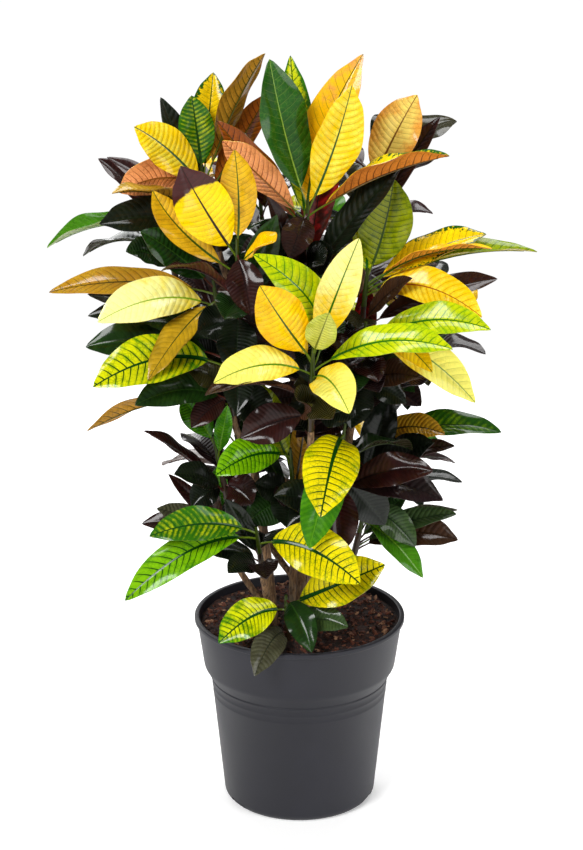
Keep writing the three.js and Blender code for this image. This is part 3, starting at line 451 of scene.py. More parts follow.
SHOOTS = {
    "01": leafy_shoot((14, -170, 589), (12, -138, 488), "front", 415, (0, 3), 90, 260, [
        (152, 77, 75, 60, 30, 46, "pale"), (-110, 108, 30, 50, 30, 42, "pale"),
        (91, 142, 25, 40, 40, 40, "lime"), (-33, 112, -5, 50, 10, 48, 62, "lime"),
        (-37, 78, -15, 65, 0, 30, "golden"), (-43, 82, 25, 65, 5, 54, -8, "golden"),
        (23, 118, 15, 72, 0, 42, -2, "cream_tipped"), (22, 36, 26, 70, 0, 34, "pale_lime"),
    ], [
        (-164, 57, 30, 60, 15, 36, "dark_olive"), (-141, 121, -20, 65, 10, 44, "maroon"),
        (150, 84, -5, 65, 10, 42, "black_green"),
    ]),
    "02": leafy_shoot((-65, -120, 691), (-64, -92, 577), "front_left", 505, (0, 3), 60, 220, [
        (-60, 100, -10, 60, 0, 34, -25, "ochre"), (99, 40, 45, 40, 15, 34, 10, "golden"),
        (-38, 91, 15, 75, 0, 60, -5, "maroon_tipped"), (-1, 90, -5, 70, 0, 40, 6, "ochre"),
    ], [
        (59, 45, 10, 60, 5, 36, "dark_green"), (-157, 105, 10, 65, 5, 44, "black_green"),
        (165, 109, -15, 65, 5, 44, "maroon"), (-178, 132, 5, 75, 5, 44, "black_green"),
    ]),
    "03": leafy_shoot((49, -100, 484), (38, -86, 385), "front", 328, (0, 1), 90, 200, [
        (-164, 140, 40, 60, 20, 46, "mid_green"), (-162, 99, 78, 60, 32, 62, "veined"),
    ], [
        (119, 107, 20, 50, 25, 40, "maroon"), (132, 134, 30, 45, 30, 42, "purple"),
        (-108, 83, 30, 45, 25, 38, "dark_green"), (-66, 54, -20, 60, 5, 32, "dark_olive"),
        (-176, 135, -10, 70, 10, 44, "maroon"), (162, 124, 0, 70, 10, 44, "black_green"),
    ]),
    "04": leafy_shoot((-47, -110, 368), (-40, -82, 300), "front_left", 216, (0, 1), 120, 180, [
        (118, 127, 35, 60, 35, 58, "veined"), (-119, 161, 35, 50, 45, 42, "lime_net"),
        (-94, 114, 30, 55, 25, 40, "marbled"),
    ], [
        (-148, 55, 45, 50, 15, 30, "black_green"), (168, 54, 50, 60, 15, 34, "purple"),
        (-113, 61, 25, 50, 15, 26, "black_green"), (-45, 47, 0, 60, 5, 26, "black_green"),
    ]),
    "05": leafy_shoot((-15, -80, 277), (-13, -68, 218), "soil", 0, (0, 0), 90, 180, [
        (-125, 90, 35, 60, 25, 44, "green_tipped"), (72, 114, 15, 50, -2, 54, "veined"),
        (155, 67, 45, 60, 20, 34, "dark_green"),
    ], [
        (-160, 93, 60, 60, 30, 36, "grey"), (117, 77, 20, 50, 20, 32, "grey_green"),
        (-52, 65, 10, 60, 5, 34, "dark_green"),
    ]),
    "06": leafy_shoot((-92, -70, 634), (-80, -64, 545), "front_left", 500, (0, 1), 90, 160, [
        (-111, 128, 45, 55, 35, 50, "cream"), (-148, 126, 65, 20, 20, 36, "tan_backed"),
        (-94, 176, -10, 35, 25, 38, "bronze"), (-57, 87, 40, 60, 10, 40, "rosy_green"),
    ], [
        (-119, 97, 45, 50, 25, 38, "dark_green"), (-105, 141, -25, 40, 30, 38, "black_green"),
        (-94, 140, -45, 40, 20, 36, "dark_olive"), (-34, 76, 20, 60, 5, 26, "maroon"),
    ]),
    "07": leafy_shoot((-82, -90, 571), (-72, -76, 485), "front_left", 432, (1, 2), 70, 240, [
        (-108, 138, 50, 55, 40, 56, "lime_yellow"), (-91, 146, 0, 50, 25, 48, "dark_green"),
    ], [
        (-123, 173, 15, -38, 35, 40, "tan_backed"), (-126, 114, 30, 50, 30, 40, "dark_green"),
        (-159, 95, 20, 50, 10, 30, "maroon"), (150, 100, 10, 65, 15, 44, "black_green"),
    ]),
    "08": leafy_shoot((70, -110, 599), (60, -84, 505), "right", 392, (0, 2), 60, 240, [
        (94, 129, 30, 45, 40, 40, "lime"), (126, 144, 5, 55, 40, 44, "pale"),
        (128, 89, 45, 50, 25, 30, "golden"),
    ], [
        (132, 80, 25, 50, 20, 34, "brown"), (95, 89, -15, 45, 20, 36, "dark_green"),
        (170, 75, 40, 60, 20, 36, "purple"), (-170, 110, 0, 65, 10, 44, "black_green"),
        (-150, 84, 5, 60, 10, 40, "maroon"),
    ]),
    "09": leafy_shoot((74, -20, 634), (66, -16, 547), "right", 512, (0, 3), 110, 240, [
        (114, 133, 40, 45, 45, 46, "brown_ribbed"), (86, 181, 5, 8, 35, 40, 0, 0, 28, "olive_lime"),
        (76, 134, -22, 25, 20, 46, "spotted"), (82, 133, 30, -10, 30, 40, "golden"),
        (1, 70, -20, 60, 0, 34, "lime"), (16, 96, 10, 80, 0, 60, 8, "olive"),
        (-174, 82, -5, 85, 0, 26, "red"),
    ], [
        (52, 84, -38, 60, 5, 38, "black_green"), (94, 143, -25, 35, 20, 38, "maroon"),
        (110, 51, 30, 40, 15, 26, "brown"),
    ]),
    "10": leafy_shoot((9, -40, 715), (5, -24, 602), "middle", 560, (0, 4), 90, 280, [
        (-7, 154, -50, 60, 0, 40, "green_edged"), (-49, 128, -30, -50, 0, 40, "rust_backed"),
        (21, 163, -35, 70, 0, 50, -30, "pink_tipped"), (-57, 107, 15, -60, 10, 40, -10, "salmon_backed"),
        (74, 154, 20, -4, 20, 50, 0, 0, 40, "orange_backed"), (22, 121, 25, 75, 0, 54, 8, 20, "yellow"),
        (-16, 146, 10, 85, 0, 58, -8, 30, "deep_green"),
    ], [
        (71, 103, -5, 30, 15, 42, "black_green"), (-90, 43, 30, 40, 5, 24, "maroon"),
        (14, 96, -15, 80, 0, 40, "red"), (-132, 65, 25, 60, 5, 42, "black_green"),
        (153, 61, 20, 60, 5, 38, "black_green"), (-160, 70, 15, 65, 5, 42, "maroon"),
    ]),
    "11": leafy_shoot((-107, 10, 741), (-88, 12, 645), "middle", 500, (1, 3), 110, 220, [
        (43, 108, -35, -60, 0, 36, "rust_backed"), (-62, 78, 25, 65, 18, 46, "yellow"),
        (-108, 92, 25, -75, 28, 46, "salmon_backed"), (31, 136, -10, -25, 25, 40, "tan_backed"),
        (15, 102, -25, 40, 10, 40, "spotted"), (-7, 64, -10, 60, 5, 40, "marbled"),
    ], [
        (-87, 110, 0, 15, 15, 36, "maroon"), (137, 49, 45, 40, 25, 44, "burgundy"),
        (-35, 81, 5, 45, 10, 30, "black_green"), (-117, 125, 10, 50, 20, 46, "black_green"),
    ]),
    "12": leafy_shoot((-160, 40, 690), (-134, 34, 600), "middle", 395, (2, 3), 95, 120, [
        (-112, 126, 20, 5, 35, 42, 0, 0, 32, "bright_green"), (-50, 80, -20, 15, 15, 32, "maroon"),
    ], [
        (-150, 60, 25, 40, 20, 36, "dark_green"),
    ]),
    "13": leafy_shoot((79, 50, 738), (72, 36, 642), "right", 505, (3, 4), 110, 200, [
        (36, 82, 15, 60, 10, 54, "peach"), (45, 56, 20, 60, 10, 34, "lime"),
    ], [
        (58, 88, -10, 30, 15, 30, "maroon"),
    ]),
    "14": leafy_shoot((81, 0, 448), (72, -2, 365), "right", 308, (1, 2), 60, 200, [
        (93, 143, 15, 30, 35, 38, "lime_marbled"), (97, 80, 30, 40, 25, 34, "bronze"),
    ], [
        (24, 40, 25, 60, 5, 40, "black_green"), (98, 58, 35, 55, 15, 40, "black_green"),
        (104, 95, 5, 30, 20, 26, "maroon"),
    ]),
    "15": leafy_shoot((73, -60, 376), (60, -40, 305), "right", 245, (0, 1), 90, 160, [
        (142, 103, 15, 40, 20, 30, "bright_green"), (132, 65, 35, 60, 25, 34, "grey_green"),
    ], [
        (118, 108, 25, 40, 30, 42, "brown"), (95, 101, -10, 30, 20, 30, "grey_green"),
        (101, 100, -30, 20, 20, 26, "grey"), (80, 40, 20, 60, 5, 22, "dark_green"),
        (-80, 30, 20, 60, 5, 20, "black_green"),
    ]),
    "16": leafy_shoot((-10, -60, 442), (-6, -40, 360), "front", 298, (0, 2), 90, 200, [
        (-24, 78, 15, 70, 0, 36, -4, "olive"), (-110, 85, 45, 50, 25, 44, "lime_net"),
    ], [
        (20, 48, 25, 60, 5, 26, "bronze"), (-76, 72, 10, 50, 10, 24, "dark_green"),
        (-150, 95, 20, 70, 10, 44, "dark_green"), (170, 100, 10, 70, 10, 44, "black_green"),
        (-60, 80, -10, 60, 10, 40, "maroon"),
    ]),
    "17": leafy_shoot((-94, -60, 455), (-78, -52, 372), "front_left", 308, (0, 2), 60, 120, [
        (20, 40, 20, 70, 0, 20, "mid_green"), (-40, 55, -10, 60, 10, 34, "mid_green"),
    ], [
        (-85, 74, 20, 8, 15, 36, "maroon"), (-130, 60, 30, 50, 15, 32, "black_green"),
        (-160, 80, 20, 50, 15, 34, "black_green"), (150, 85, 15, 70, 10, 42, "maroon"),
    ]),
    "18": leafy_shoot((-98, -10, 365), (-76, -14, 300), "front_left", 235, (1, 1), 120, 160, [
        (10, 40, 10, 70, 0, 22, "mid_green"),
    ], [
        (-100, 62, 20, 50, 15, 30, "grey"), (-110, 85, -5, 40, 20, 30, "maroon"),
        (-26, 51, 5, 50, 5, 22, "brown"), (-40, 46, 25, 50, 5, 18, "maroon"),
        (120, 60, 15, 65, 10, 34, "black_green"),
    ]),
    "19": leafy_shoot((-45, 110, 690), (-38, 100, 600), "back", 532, (4, 4), 110, 360),
    "20": leafy_shoot((50, 130, 640), (40, 116, 550), "back", 472, (4, 4), 70, 360),
    "21": leafy_shoot((-125, 115, 570), (-104, 106, 485), "back", 350, (4, 4), 150, 330),
    "22": leafy_shoot((130, 95, 560), (108, 86, 475), "right", 318, (4, 4), 30, 330),
    "23": leafy_shoot((0, 170, 510), (-2, 148, 425), "back", 325, (4, 4), 90, 330),
    "24": leafy_shoot((-75, 110, 400), (-56, 94, 325), "back", 245, (3, 4), 130, 280),
    "25": leafy_shoot((80, 105, 390), (58, 90, 320), "back", 240, (3, 4), 50, 280),
}
AGES = ("young", "old")

# %% [markdown]
# The looks. A croton's young leaf is yellow or lime with green veins, and turns green, red and
# nearly black as it ages; undersides are paler, orange or wine red. Each look names its ground
# colour, the colour of its patches, its veins, and its underside; in the yellow look the pale
# patches between the side veins are a painted sheen, not a colour of the leaf. The four numbers of
# `patching` say where patches come: everywhere, between the veins, towards the edge and towards the
# tip. Then come the strength of the side veins, the midrib's half width and, in some looks, how fine
# the patches are and the colour of the veins on the underside.

# %% Looks
def look(flesh, patch, vein, back, patching, veining, midrib, speckle=0.0, back_vein=None, gloss=0.34,
         stalk=(88, 108, 22)):
    """One look, with its colours as linear numbers."""
    return dict(
        flesh=srgb(*flesh), patch=srgb(*patch), vein=srgb(*vein), back=srgb(*back), patching=patching,
        veining=veining, midrib=midrib, speckle=speckle, gloss=gloss, back_vein=srgb(*(back_vein or vein)),
        stalk=srgb(*stalk))

VEIN_GREEN = (24, 78, 14)
VEIN_BROWN = (100, 50, 20)
BRIGHT_LOOKS = {
    "cream": ((253, 249, 160), (250, 220, 50), (140, 176, 34), (250, 205, 90), (0.3, 0, 0.3, -1.6),
        0.3, 1.0),
    "pale": ((253, 244, 112), (250, 206, 16), (90, 136, 20), (250, 205, 90), (0.5, 0, 0.3, -1.8), 0.35, 1.2),
    "pale_lime": ((205, 206, 90), (176, 188, 50), (120, 126, 30), (220, 200, 100), (-0.4, 0, 0.4, 0),
        0.6, 1.1),
    "cream_tipped": ((250, 206, 14), (250, 241, 142), (46, 104, 16), (240, 170, 50), (-0.75, 0, 0, 1.5),
        0.4, 1.3),
    "pink_tipped": ((248, 196, 8), (236, 146, 96), (50, 84, 14), (232, 150, 70), (-1.35, 0, 0.1, 1.35),
        0.5, 1.4),
    "brown_ribbed": ((252, 206, 6), (253, 232, 70), (160, 74, 10), (240, 170, 50), (-0.5, 1.1, 0, 0),
        0.5, 1.1),
    "maroon_tipped": ((250, 212, 2), (66, 26, 26), (40, 20, 14), (240, 170, 50), (-22, 0, 1.2, 30),
        0.4, 1.4, 0.4),
    # The yellow look's pale lemon patches between the side veins are a painted sheen: the whitish gloss
    # between the veins, painted into the leaf's colour.
    "yellow": ((249, 206, 2), (252, 240, 84), VEIN_GREEN, (240, 170, 50), (-0.5, 1.1, -0.2, 0), 0.45, 1.4),
    "golden": ((252, 208, 0), (242, 178, 2), (56, 84, 8), (232, 150, 50), (-0.3, 0, 0.4, 0), 0.35, 1.2),
    "ochre": ((228, 182, 22), (200, 148, 16), (56, 84, 12), (214, 140, 50), (-0.2, 0, 0.5, 0), 0.5, 1.2),
    "veined": ((238, 220, 2), (140, 168, 4), (12, 66, 8), (222, 190, 50), (-0.2, -1.1, 0.3, 0), 1.0, 2.6),
    "lime": ((200, 212, 0), (142, 186, 2), (36, 110, 8), (176, 190, 60), (-0.15, -0.6, 0.2, 0), 0.8, 1.5),
    "lime_net": ((124, 184, 4), (64, 136, 6), (12, 70, 6), (150, 180, 50), (-0.1, -1.0, 0.2, 0), 1.0, 1.8),
    "lime_yellow": ((212, 214, 2), (84, 148, 4), (10, 68, 6), (176, 170, 50), (0.3, -1.3, 0.2, -0.5),
        1.0, 2.4),
    "green_tipped": ((222, 226, 2), (66, 134, 4), (12, 72, 6), (190, 190, 50), (-0.75, -0.7, 0.3, 1.2),
        1.0, 2.0),
    "green_edged": ((206, 214, 10), (48, 112, 8), (18, 80, 8), (190, 190, 50), (-0.9, -0.3, 1.4, 0.5),
        0.8, 1.5, 0.5),
    "spotted": ((248, 208, 4), (30, 84, 10), VEIN_GREEN, (232, 150, 50), (-1.0, -0.2, 1.0, 0.6),
        0.5, 1.3, 0.9),
    "marbled": ((50, 110, 12), (196, 206, 14), (20, 66, 10), (150, 150, 60), (-0.45, 1.0, -0.3, 0),
        0.8, 1.6, 0.3),
    "lime_marbled": ((34, 84, 8), (128, 172, 12), (20, 62, 8), (120, 140, 60), (-0.3, 0.9, -0.5, -0.3),
        0.7, 1.3, 0.2),
    "olive": ((140, 150, 4), (92, 112, 4), (48, 72, 6), (190, 150, 40), (-0.1, -0.3, 0.2, 0), 0.9, 1.4, 0.3),
    "olive_lime": ((150, 166, 6), (96, 130, 8), (50, 84, 8), (190, 170, 50), (-0.1, -0.3, 0.3, 0), 0.8, 1.2),
    "mid_green": ((44, 108, 8), (84, 148, 12), (90, 142, 24), (110, 140, 60), (-0.4, 0.8, 0, 0), 0.35, 0.9),
    "bright_green": ((68, 132, 12), (40, 96, 8), (110, 158, 40), (160, 180, 110), (-0.3, 0.2, 0, 0),
        0.35, 0.9),
    "deep_green": ((24, 76, 8), (38, 98, 12), (140, 176, 66), (90, 120, 40), (-0.3, 0.2, 0, 0), 0.25, 0.8),
    "grey_green": ((44, 66, 34), (70, 94, 50), (28, 48, 24), (90, 84, 60), (-0.1, 0.2, 0, 0), 0.5, 0.9),
    "bronze": ((176, 124, 22), (192, 148, 34), (64, 54, 14), (176, 116, 44), (-0.1, 0.2, 0.1, 0),
        0.7, 1.4, 0.0, VEIN_BROWN),
    "peach": ((250, 222, 110), (234, 160, 60), (120, 76, 24), (240, 176, 86), (-0.5, 0, 0.9, 0.1), 0.5, 1.3),
    "orange_backed": ((240, 210, 8), (30, 88, 10), VEIN_GREEN, (206, 120, 44), (-1.0, -0.3, 0.6, 1.0),
        0.5, 1.2, 0.9, VEIN_BROWN),
    "rust_backed": ((150, 120, 16), (66, 90, 12), VEIN_GREEN, (146, 74, 18), (-0.4, 0, 0.5, 0),
        0.4, 1.0, 0.0, (70, 32, 12)),
    "salmon_backed": ((250, 214, 20), (230, 180, 10), VEIN_GREEN, (244, 162, 100), (-0.3, 0, 0.4, 0),
        0.3, 1.0, 0.0, (140, 66, 30)),
    "tan_backed": ((200, 158, 24), (150, 120, 20), (64, 72, 14), (182, 130, 38), (-0.3, 0, 0.4, 0),
        0.4, 1.0, 0.0, (74, 62, 16)),
}
DARK_LOOKS = {
    "rosy_green": ((20, 54, 10), (190, 60, 60), (50, 86, 24), (58, 44, 34), (-0.95, 0.1, 0, 0), 0.3, 0.8),
    "dark_green": ((17, 42, 10), (30, 62, 14), (40, 74, 22), (54, 40, 30), (-0.2, 0.2, 0, 0), 0.3, 0.8),
    "dark_olive": ((36, 36, 12), (54, 48, 16), (30, 30, 12), (74, 42, 26), (-0.1, 0.1, 0, 0), 0.4, 0.8),
    "black_green": ((10, 17, 9), (18, 28, 14), (26, 38, 20), (46, 24, 22), (-0.2, 0.1, 0, 0), 0.3, 0.7),
    "purple": ((26, 12, 15), (38, 18, 20), (16, 8, 10), (56, 24, 24), (-0.2, 0.2, 0, 0), 0.3, 0.8),
    "maroon": ((38, 13, 13), (56, 20, 17), (22, 8, 8), (70, 28, 24), (-0.2, 0.1, 0.1, 0), 0.3, 0.8),
    "burgundy": ((52, 15, 17), (70, 22, 22), (30, 10, 11), (66, 28, 24), (-0.2, 0.1, 0.1, 0), 0.3, 0.8),
    "red": ((52, 15, 14), (186, 20, 24), (34, 10, 10), (90, 28, 26), (-0.35, 0.3, 0.1, 0), 0.3, 0.8),
    "brown": ((50, 28, 16), (70, 42, 24), (30, 19, 12), (84, 48, 30), (-0.1, 0.1, 0, 0), 0.3, 0.8),
    "grey": ((58, 56, 40), (84, 84, 62), (36, 40, 28), (90, 70, 56), (-0.1, 0.2, 0.1, 0), 0.5, 0.9),
}
LOOKS = {name: look(*row) for name, row in BRIGHT_LOOKS.items()}
LOOKS |= {name: look(*row, gloss=0.36, stalk=(76, 34, 26)) for name, row in DARK_LOOKS.items()}
SET_LOOKS = {("11", "old", 1): "tan_backed"}   # ruled leaves that the portrait shows from below
RULED_LOOKS = {
    "shaded": ("dark_green", "maroon", "grey_green", "dark_olive", "burgundy", "black_green"),
    "young": ("yellow", "lime", "pale", "marbled", "golden", "mid_green", "veined", "lime_yellow"),
    "old": ("maroon", "black_green", "dark_green", "purple", "brown", "black_green", "dark_olive"),
}
print("looks:", len(LOOKS), "rows:", sum(len(s["young"]) + len(s["old"]) for s in SHOOTS.values()))

# %% [markdown]
# Where a leaf goes. The solid tried a spiral of places for each leaf's tip until the leaf passed
# clear of its neighbours. The tip is a corner of the solid, so the place it took is found by
# looking for a corner at each try in turn. A leaf that isn't found was left out of the solid.

# %% Rules of the plant's plan
PETIOLE_SHARE, CURVE_MIDDLE, FOLD = 0.15, 0.45, 16
ROOTS_START, ROOTS_SHARE = 0.22, 0.66
MOST_NUDGES, NUDGE_STEP, NUDGE_SHAPE, NUDGE_ANGLE = 110, 4.2, Vector((0.7, 1.6, 0.8)), 2.39996
GOLDEN_TURN, OUTWARD_LEAN, SEED = 0.618034, 0.45, 20611
VIEW_TILT = math.radians(18)
RULED = {
    "young": dict(reach=(86, 122), rise=(-8, 46), arch=(20, 44), width=(42, 54)),
    "old": dict(reach=(82, 120), rise=(-80, -8), arch=(22, 44), width=(42, 56)),
}
TIP_MATCH = 0.2   # millimetres

seed_state = SEED
def draw(limits):
    """The next seeded number between two limits."""
    global seed_state
    seed_state = (seed_state * 1664525 + 1013904223) % 4294967296
    return limits[0] + (limits[1] - limits[0]) * seed_state / 4294967296

def nudge(turn):
    height = 1 - 2 * ((turn * GOLDEN_TURN) % 1)
    ring = math.sqrt(max(0, 1 - height * height))
    angle = turn * NUDGE_ANGLE
    way = Vector((ring * math.cos(angle), height, ring * math.sin(angle)))
    return Vector(a * b for a, b in zip(way, NUDGE_SHAPE)) * NUDGE_STEP * math.sqrt(turn)

def laid_leaf(shoot, row):
    *numbers, name = row
    lean, seen, toward, face, arch, width, sway, aside, fold = numbers + [0, 0, FOLD][len(numbers) - 6:]
    turn, looks, side = map(math.radians, (lean, face, aside))
    rise = (seen * math.cos(turn) + toward * math.sin(VIEW_TILT)) / math.cos(VIEW_TILT)
    tip = Vector(shoot["tip"]) + Vector((seen * math.sin(turn), -toward, rise))
    facing = Vector((math.sin(looks) * math.sin(side), -math.sin(looks) * math.cos(side), math.cos(looks)))
    return dict(tip=tip, facing=facing, arch=arch, width=width, sway=sway, fold=fold, look=name)

def ruled_leaf(shoot, age, number, name):
    share = ((number + (0.5 if age == "old" else 0)) * GOLDEN_TURN) % 1
    bearing = math.radians(shoot["open"] + shoot["spread"] * (share - 0.5))
    out = Vector((math.cos(bearing), math.sin(bearing), 0))
    limits = RULED[age]
    tip = Vector(shoot["tip"]) + out * draw(limits["reach"])
    tip.z += draw(limits["rise"])
    facing = (Vector((0, 0, 1)) + out * OUTWARD_LEAN).normalized()
    arch, width = draw(limits["arch"]), draw(limits["width"])
    return dict(tip=tip, facing=facing, arch=arch, width=width, sway=0, fold=FOLD, look=name, ruled=True)

def spans(shoot):
    """The lengths of a shoot's stem that carry its young and its old leaves."""
    foot, tip = Vector(shoot["foot"]), Vector(shoot["tip"])
    middle, heading = (foot + tip) / 2, (tip - foot).normalized()
    return {"old": (foot, middle), "young": (middle + heading * SEAT, tip)}

def root_on(span, number, count):
    return span[0].lerp(span[1], ROOTS_START + ROOTS_SHARE * (number + 0.5) / count)

def corners_of(node):
    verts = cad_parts[node].data.vertices
    tree = KDTree(len(verts))
    for i, vert in enumerate(verts):
        tree.insert(vert.co / MM, i)
    tree.balance()
    return tree

CORNERS = {
    (name, age): corners_of(f"shoot_{name}_{age}_leaves") for name in SHOOTS for age in AGES
}
leaves = {key: [] for key in CORNERS}

def take(key, leaf, root):
    """Keeps a leaf where the solid has it."""
    for turn in range(MOST_NUDGES + 1):
        tip = leaf["tip"] + nudge(turn)
        if CORNERS[key].find(tip)[2] < TIP_MATCH:
            leaves[key].append({**leaf, "tip": tip, "root": root})
            return

for name, shoot in SHOOTS.items():
    for turn, age in enumerate(AGES):
        count = len(shoot[age]) + shoot["ruled"][turn]
        for i, row in enumerate(shoot[age]):
            take((name, age), laid_leaf(shoot, row), root_on(spans(shoot)[age], i, count))
for name, shoot in SHOOTS.items():
    for turn, age in enumerate(AGES):
        laid, ruled = len(shoot[age]), shoot["ruled"][turn]
        for i in range(ruled):
            choice = RULED_LOOKS[age][(int(name) * 3 + i) % len(RULED_LOOKS[age])]
            leaf = ruled_leaf(shoot, age, i, SET_LOOKS.get((name, age, i), choice))
            take((name, age), leaf, root_on(spans(shoot)[age], laid + i, laid + ruled))
print("leaves found on the solids:", sum(len(found) for found in leaves.values()))

# %% [markdown]
# One material paints every leaf. Each blade carries its own colours and its own map of itself as
# attributes: how far across and along a point lies, and how many side veins have been passed on
# the way to it. Drawing the veins from such a map keeps them crisp and lets them bend with the
# blade, which a flat pattern laid through space wouldn't.

# %% Leaf finish
def leaf_finish(name, specular, quilting):
    """The croton leaf, painted from the attributes that each blade carries."""
    leaf = new_finish(name)
    blade = leaf.add("ShaderNodeSeparateXYZ", Vector=leaf.attribute("blade").outputs["Vector"])
    across, along, passed = blade.outputs[0], blade.outputs[1], blade.outputs[2]
    from_rib = leaf.attribute("from_rib").outputs["Fac"]
    flesh, patch = leaf.attribute("flesh"), leaf.attribute("patch")
    vein, patching = leaf.attribute("vein"), leaf.attribute("patching")
    spot = leaf.place()

    wander = leaf.math("MULTIPLY", leaf.math("SUBTRACT", leaf.noise(spot, 60, 2), 0.5), 0.3)
    later = leaf.math("MULTIPLY", leaf.math("GREATER_THAN", across, 0.0), 0.5)
    folded = leaf.math("PINGPONG", leaf.math("ADD", leaf.math("ADD", passed, later), wander), 0.5)
    edge = leaf.math("ABSOLUTE", across)

    weights = leaf.add("ShaderNodeSeparateColor", Color=patching.outputs["Color"])
    coarse = leaf.noise(spot, 75, 3, 0.6)
    dots = leaf.noise(spot, 330, 2, 0.6)
    speckle = leaf.add(
        "ShaderNodeMix", {"data_type": "FLOAT"}, in0=patch.outputs["Alpha"], in2=coarse, in3=dots)
    here = leaf.math("ADD", weights.outputs[0], leaf.math("MULTIPLY", folded, weights.outputs[1]))
    here = leaf.math("MULTIPLY_ADD", leaf.math("POWER", edge, 2), weights.outputs[2], here)
    here = leaf.math("MULTIPLY_ADD", along, patching.outputs["Alpha"], here)
    here = leaf.math("MULTIPLY_ADD", leaf.math("SUBTRACT", speckle.outputs[0], 0.5), 2.2, here)
    soft = leaf.math("MULTIPLY_ADD", patch.outputs["Alpha"], -0.5, 0.6)
    share = leaf.ramp(here, leaf.math("MULTIPLY", soft, -1.0), soft)
    # Patches are the leaf's own markings, except in the yellow look, where the pale patches between the
    # veins are a painted sheen.
    ground = leaf.mix(share, flesh.outputs["Color"], patch.outputs["Color"])

    tone = leaf.noise(spot, 26, 3)
    ground = leaf.mix(leaf.ramp(tone, 0.3, 0.7, 0.0, 0.12), ground, (0.02, 0.03, 0.005))

    side_half = leaf.math("MULTIPLY", vein.outputs["Alpha"], leaf.ramp(edge, 0.0, 1.0, 0.075, 0.03))
    side = leaf.ramp(leaf.math("SUBTRACT", folded, side_half), -0.015, 0.045, 1.0, 0.0)
    side = leaf.math("MULTIPLY", side, leaf.ramp(edge, 0.6, 1.0, 1.0, 0.2))
    netting = leaf.add("ShaderNodeTexVoronoi", {"feature": "DISTANCE_TO_EDGE"}, Vector=spot, Scale=210.0)
    net = leaf.ramp(netting.outputs["Distance"], 0.0, 0.1, 0.5, 0.0)
    net = leaf.math("MULTIPLY", net, leaf.ramp(coarse, 0.35, 0.6, 0.15, 1.0))
    lines = leaf.math("MULTIPLY", leaf.math("MAXIMUM", side, net), vein.outputs["Alpha"])
    rib_half = leaf.math("MULTIPLY", flesh.outputs["Alpha"], leaf.ramp(along, 0.0, 1.0, 1.05, 0.3))
    rib = leaf.ramp(leaf.math("SUBTRACT", from_rib, rib_half), -0.2, 0.3, 1.0, 0.0)
    drawn = leaf.math("MAXIMUM", lines, rib)
    colour = leaf.mix(drawn, ground, vein.outputs["Color"])

    gloss = leaf.attribute("gloss").outputs["Fac"]
    quilt = leaf.math("POWER", leaf.math("MULTIPLY", folded, 2.0), 0.6)
    raised = leaf.bump(quilt, quilting, 0.0012)
    fine = leaf.math("ADD", leaf.ramp(netting.outputs["Distance"], 0.0, 0.25), leaf.noise(spot, 420, 2))
    leaf.wear(
        Base_Color=colour, Roughness=leaf.math("MULTIPLY_ADD", tone, 0.14, gloss),
        Specular_IOR_Level=specular, Coat_Weight=0.5, Coat_Roughness=0.14,
        Normal=leaf.bump(fine, 0.2, 0.0003, raised))
    return leaf.material

LEAF_FINISHES = {"young": leaf_finish("young_leaf", 0.02, 0.7), "old": leaf_finish("old_leaf", 0.06, 0.8)}

# %% [markdown]
# A croton blade is a thick leathery sheet: folded a little along its midrib, each half slightly
# domed, puckered between the side veins, wavy at the edge and drawn out to a drip tip. It starts
# as a flat grid whose points are carried to the leaf's curve, and gets its thickness afterwards.

# %% Blade shape
BLADE_COLUMNS, VEIN_PAIRS, ROWS_PER_VEIN = 10, 16, 3
INNER_COLUMNS, INNER_ROWS_PER_VEIN, INNER_STALK_ROWS = 8, 2, 6   # coarser, in the shade
BLADE_THICKNESS = 0.7
WIDEST, FULLNESS = 1.08, 0.66
DOME, PUCKER = 0.07, 0.2
WAVE, WAVES, WAVE_LAG = 0.096, 2.2, 2.1   # of the edge: height, number and the right half's lag
VEIN_SWEEP, VEIN_CURVE = 0.09, 0.05
SIDEWAYS = Vector((0.31, 0.95, 0.02))   # no stem runs this way
STALK_HALF = 1.2
STALK_SIDES, STALK_ROWS = 6, 12
STALK_REACH, RIB_DROP = 0.93, 0.75   # the rib ends short of the tip, and lies below the blade
STALK_RADIUS, RIB_RADIUS, RIB_END_RADIUS = 1.35, 0.9, 0.3

def ease(value, low, high):
    t = min(1, max(0, (value - low) / (high - low)))
    return t * t * (3 - 2 * t)

def outline(t, drawn_out=0.2):
    """Half the blade's width at t, as a share of the widest, with a drip tip."""
    full = max(0.0, math.sin(math.pi * min(t, 1) ** WIDEST)) ** FULLNESS
    return full * (1 - drawn_out * ease(t, 0.84, 0.97))

class LeafCurve:
    """The line that a leaf's middle follows, from its root in the stem to its tip."""

    def __init__(self, leaf):
        self.root, self.tip = leaf["root"], leaf["tip"]
        self.middle = self.root.lerp(self.tip, CURVE_MIDDLE) + Vector((leaf["sway"], 0, leaf["arch"]))
        self.facing = leaf["facing"]

    def frame(self, s):
        """The point at s from 0 to 1, with the ways along, across and out of the upper side."""
        a, b, c = self.root, self.middle, self.tip
        point = a * (1 - s) ** 2 + b * 2 * s * (1 - s) + c * s ** 2
        heading = ((b - a) * (1 - s) + (c - b) * s).normalized()
        normal = (self.facing - heading * self.facing.dot(heading)).normalized()
        return point, heading, heading.cross(normal), normal

LAYERS = {"flesh": "float_color", "patch": "float_color", "vein": "float_color", "patching": "float_color",
          "blade": "float_vector", "from_rib": "float", "gloss": "float"}

def open_layers(bm):
    return {name: getattr(bm.verts.layers, kind).new(name) for name, kind in LAYERS.items()}

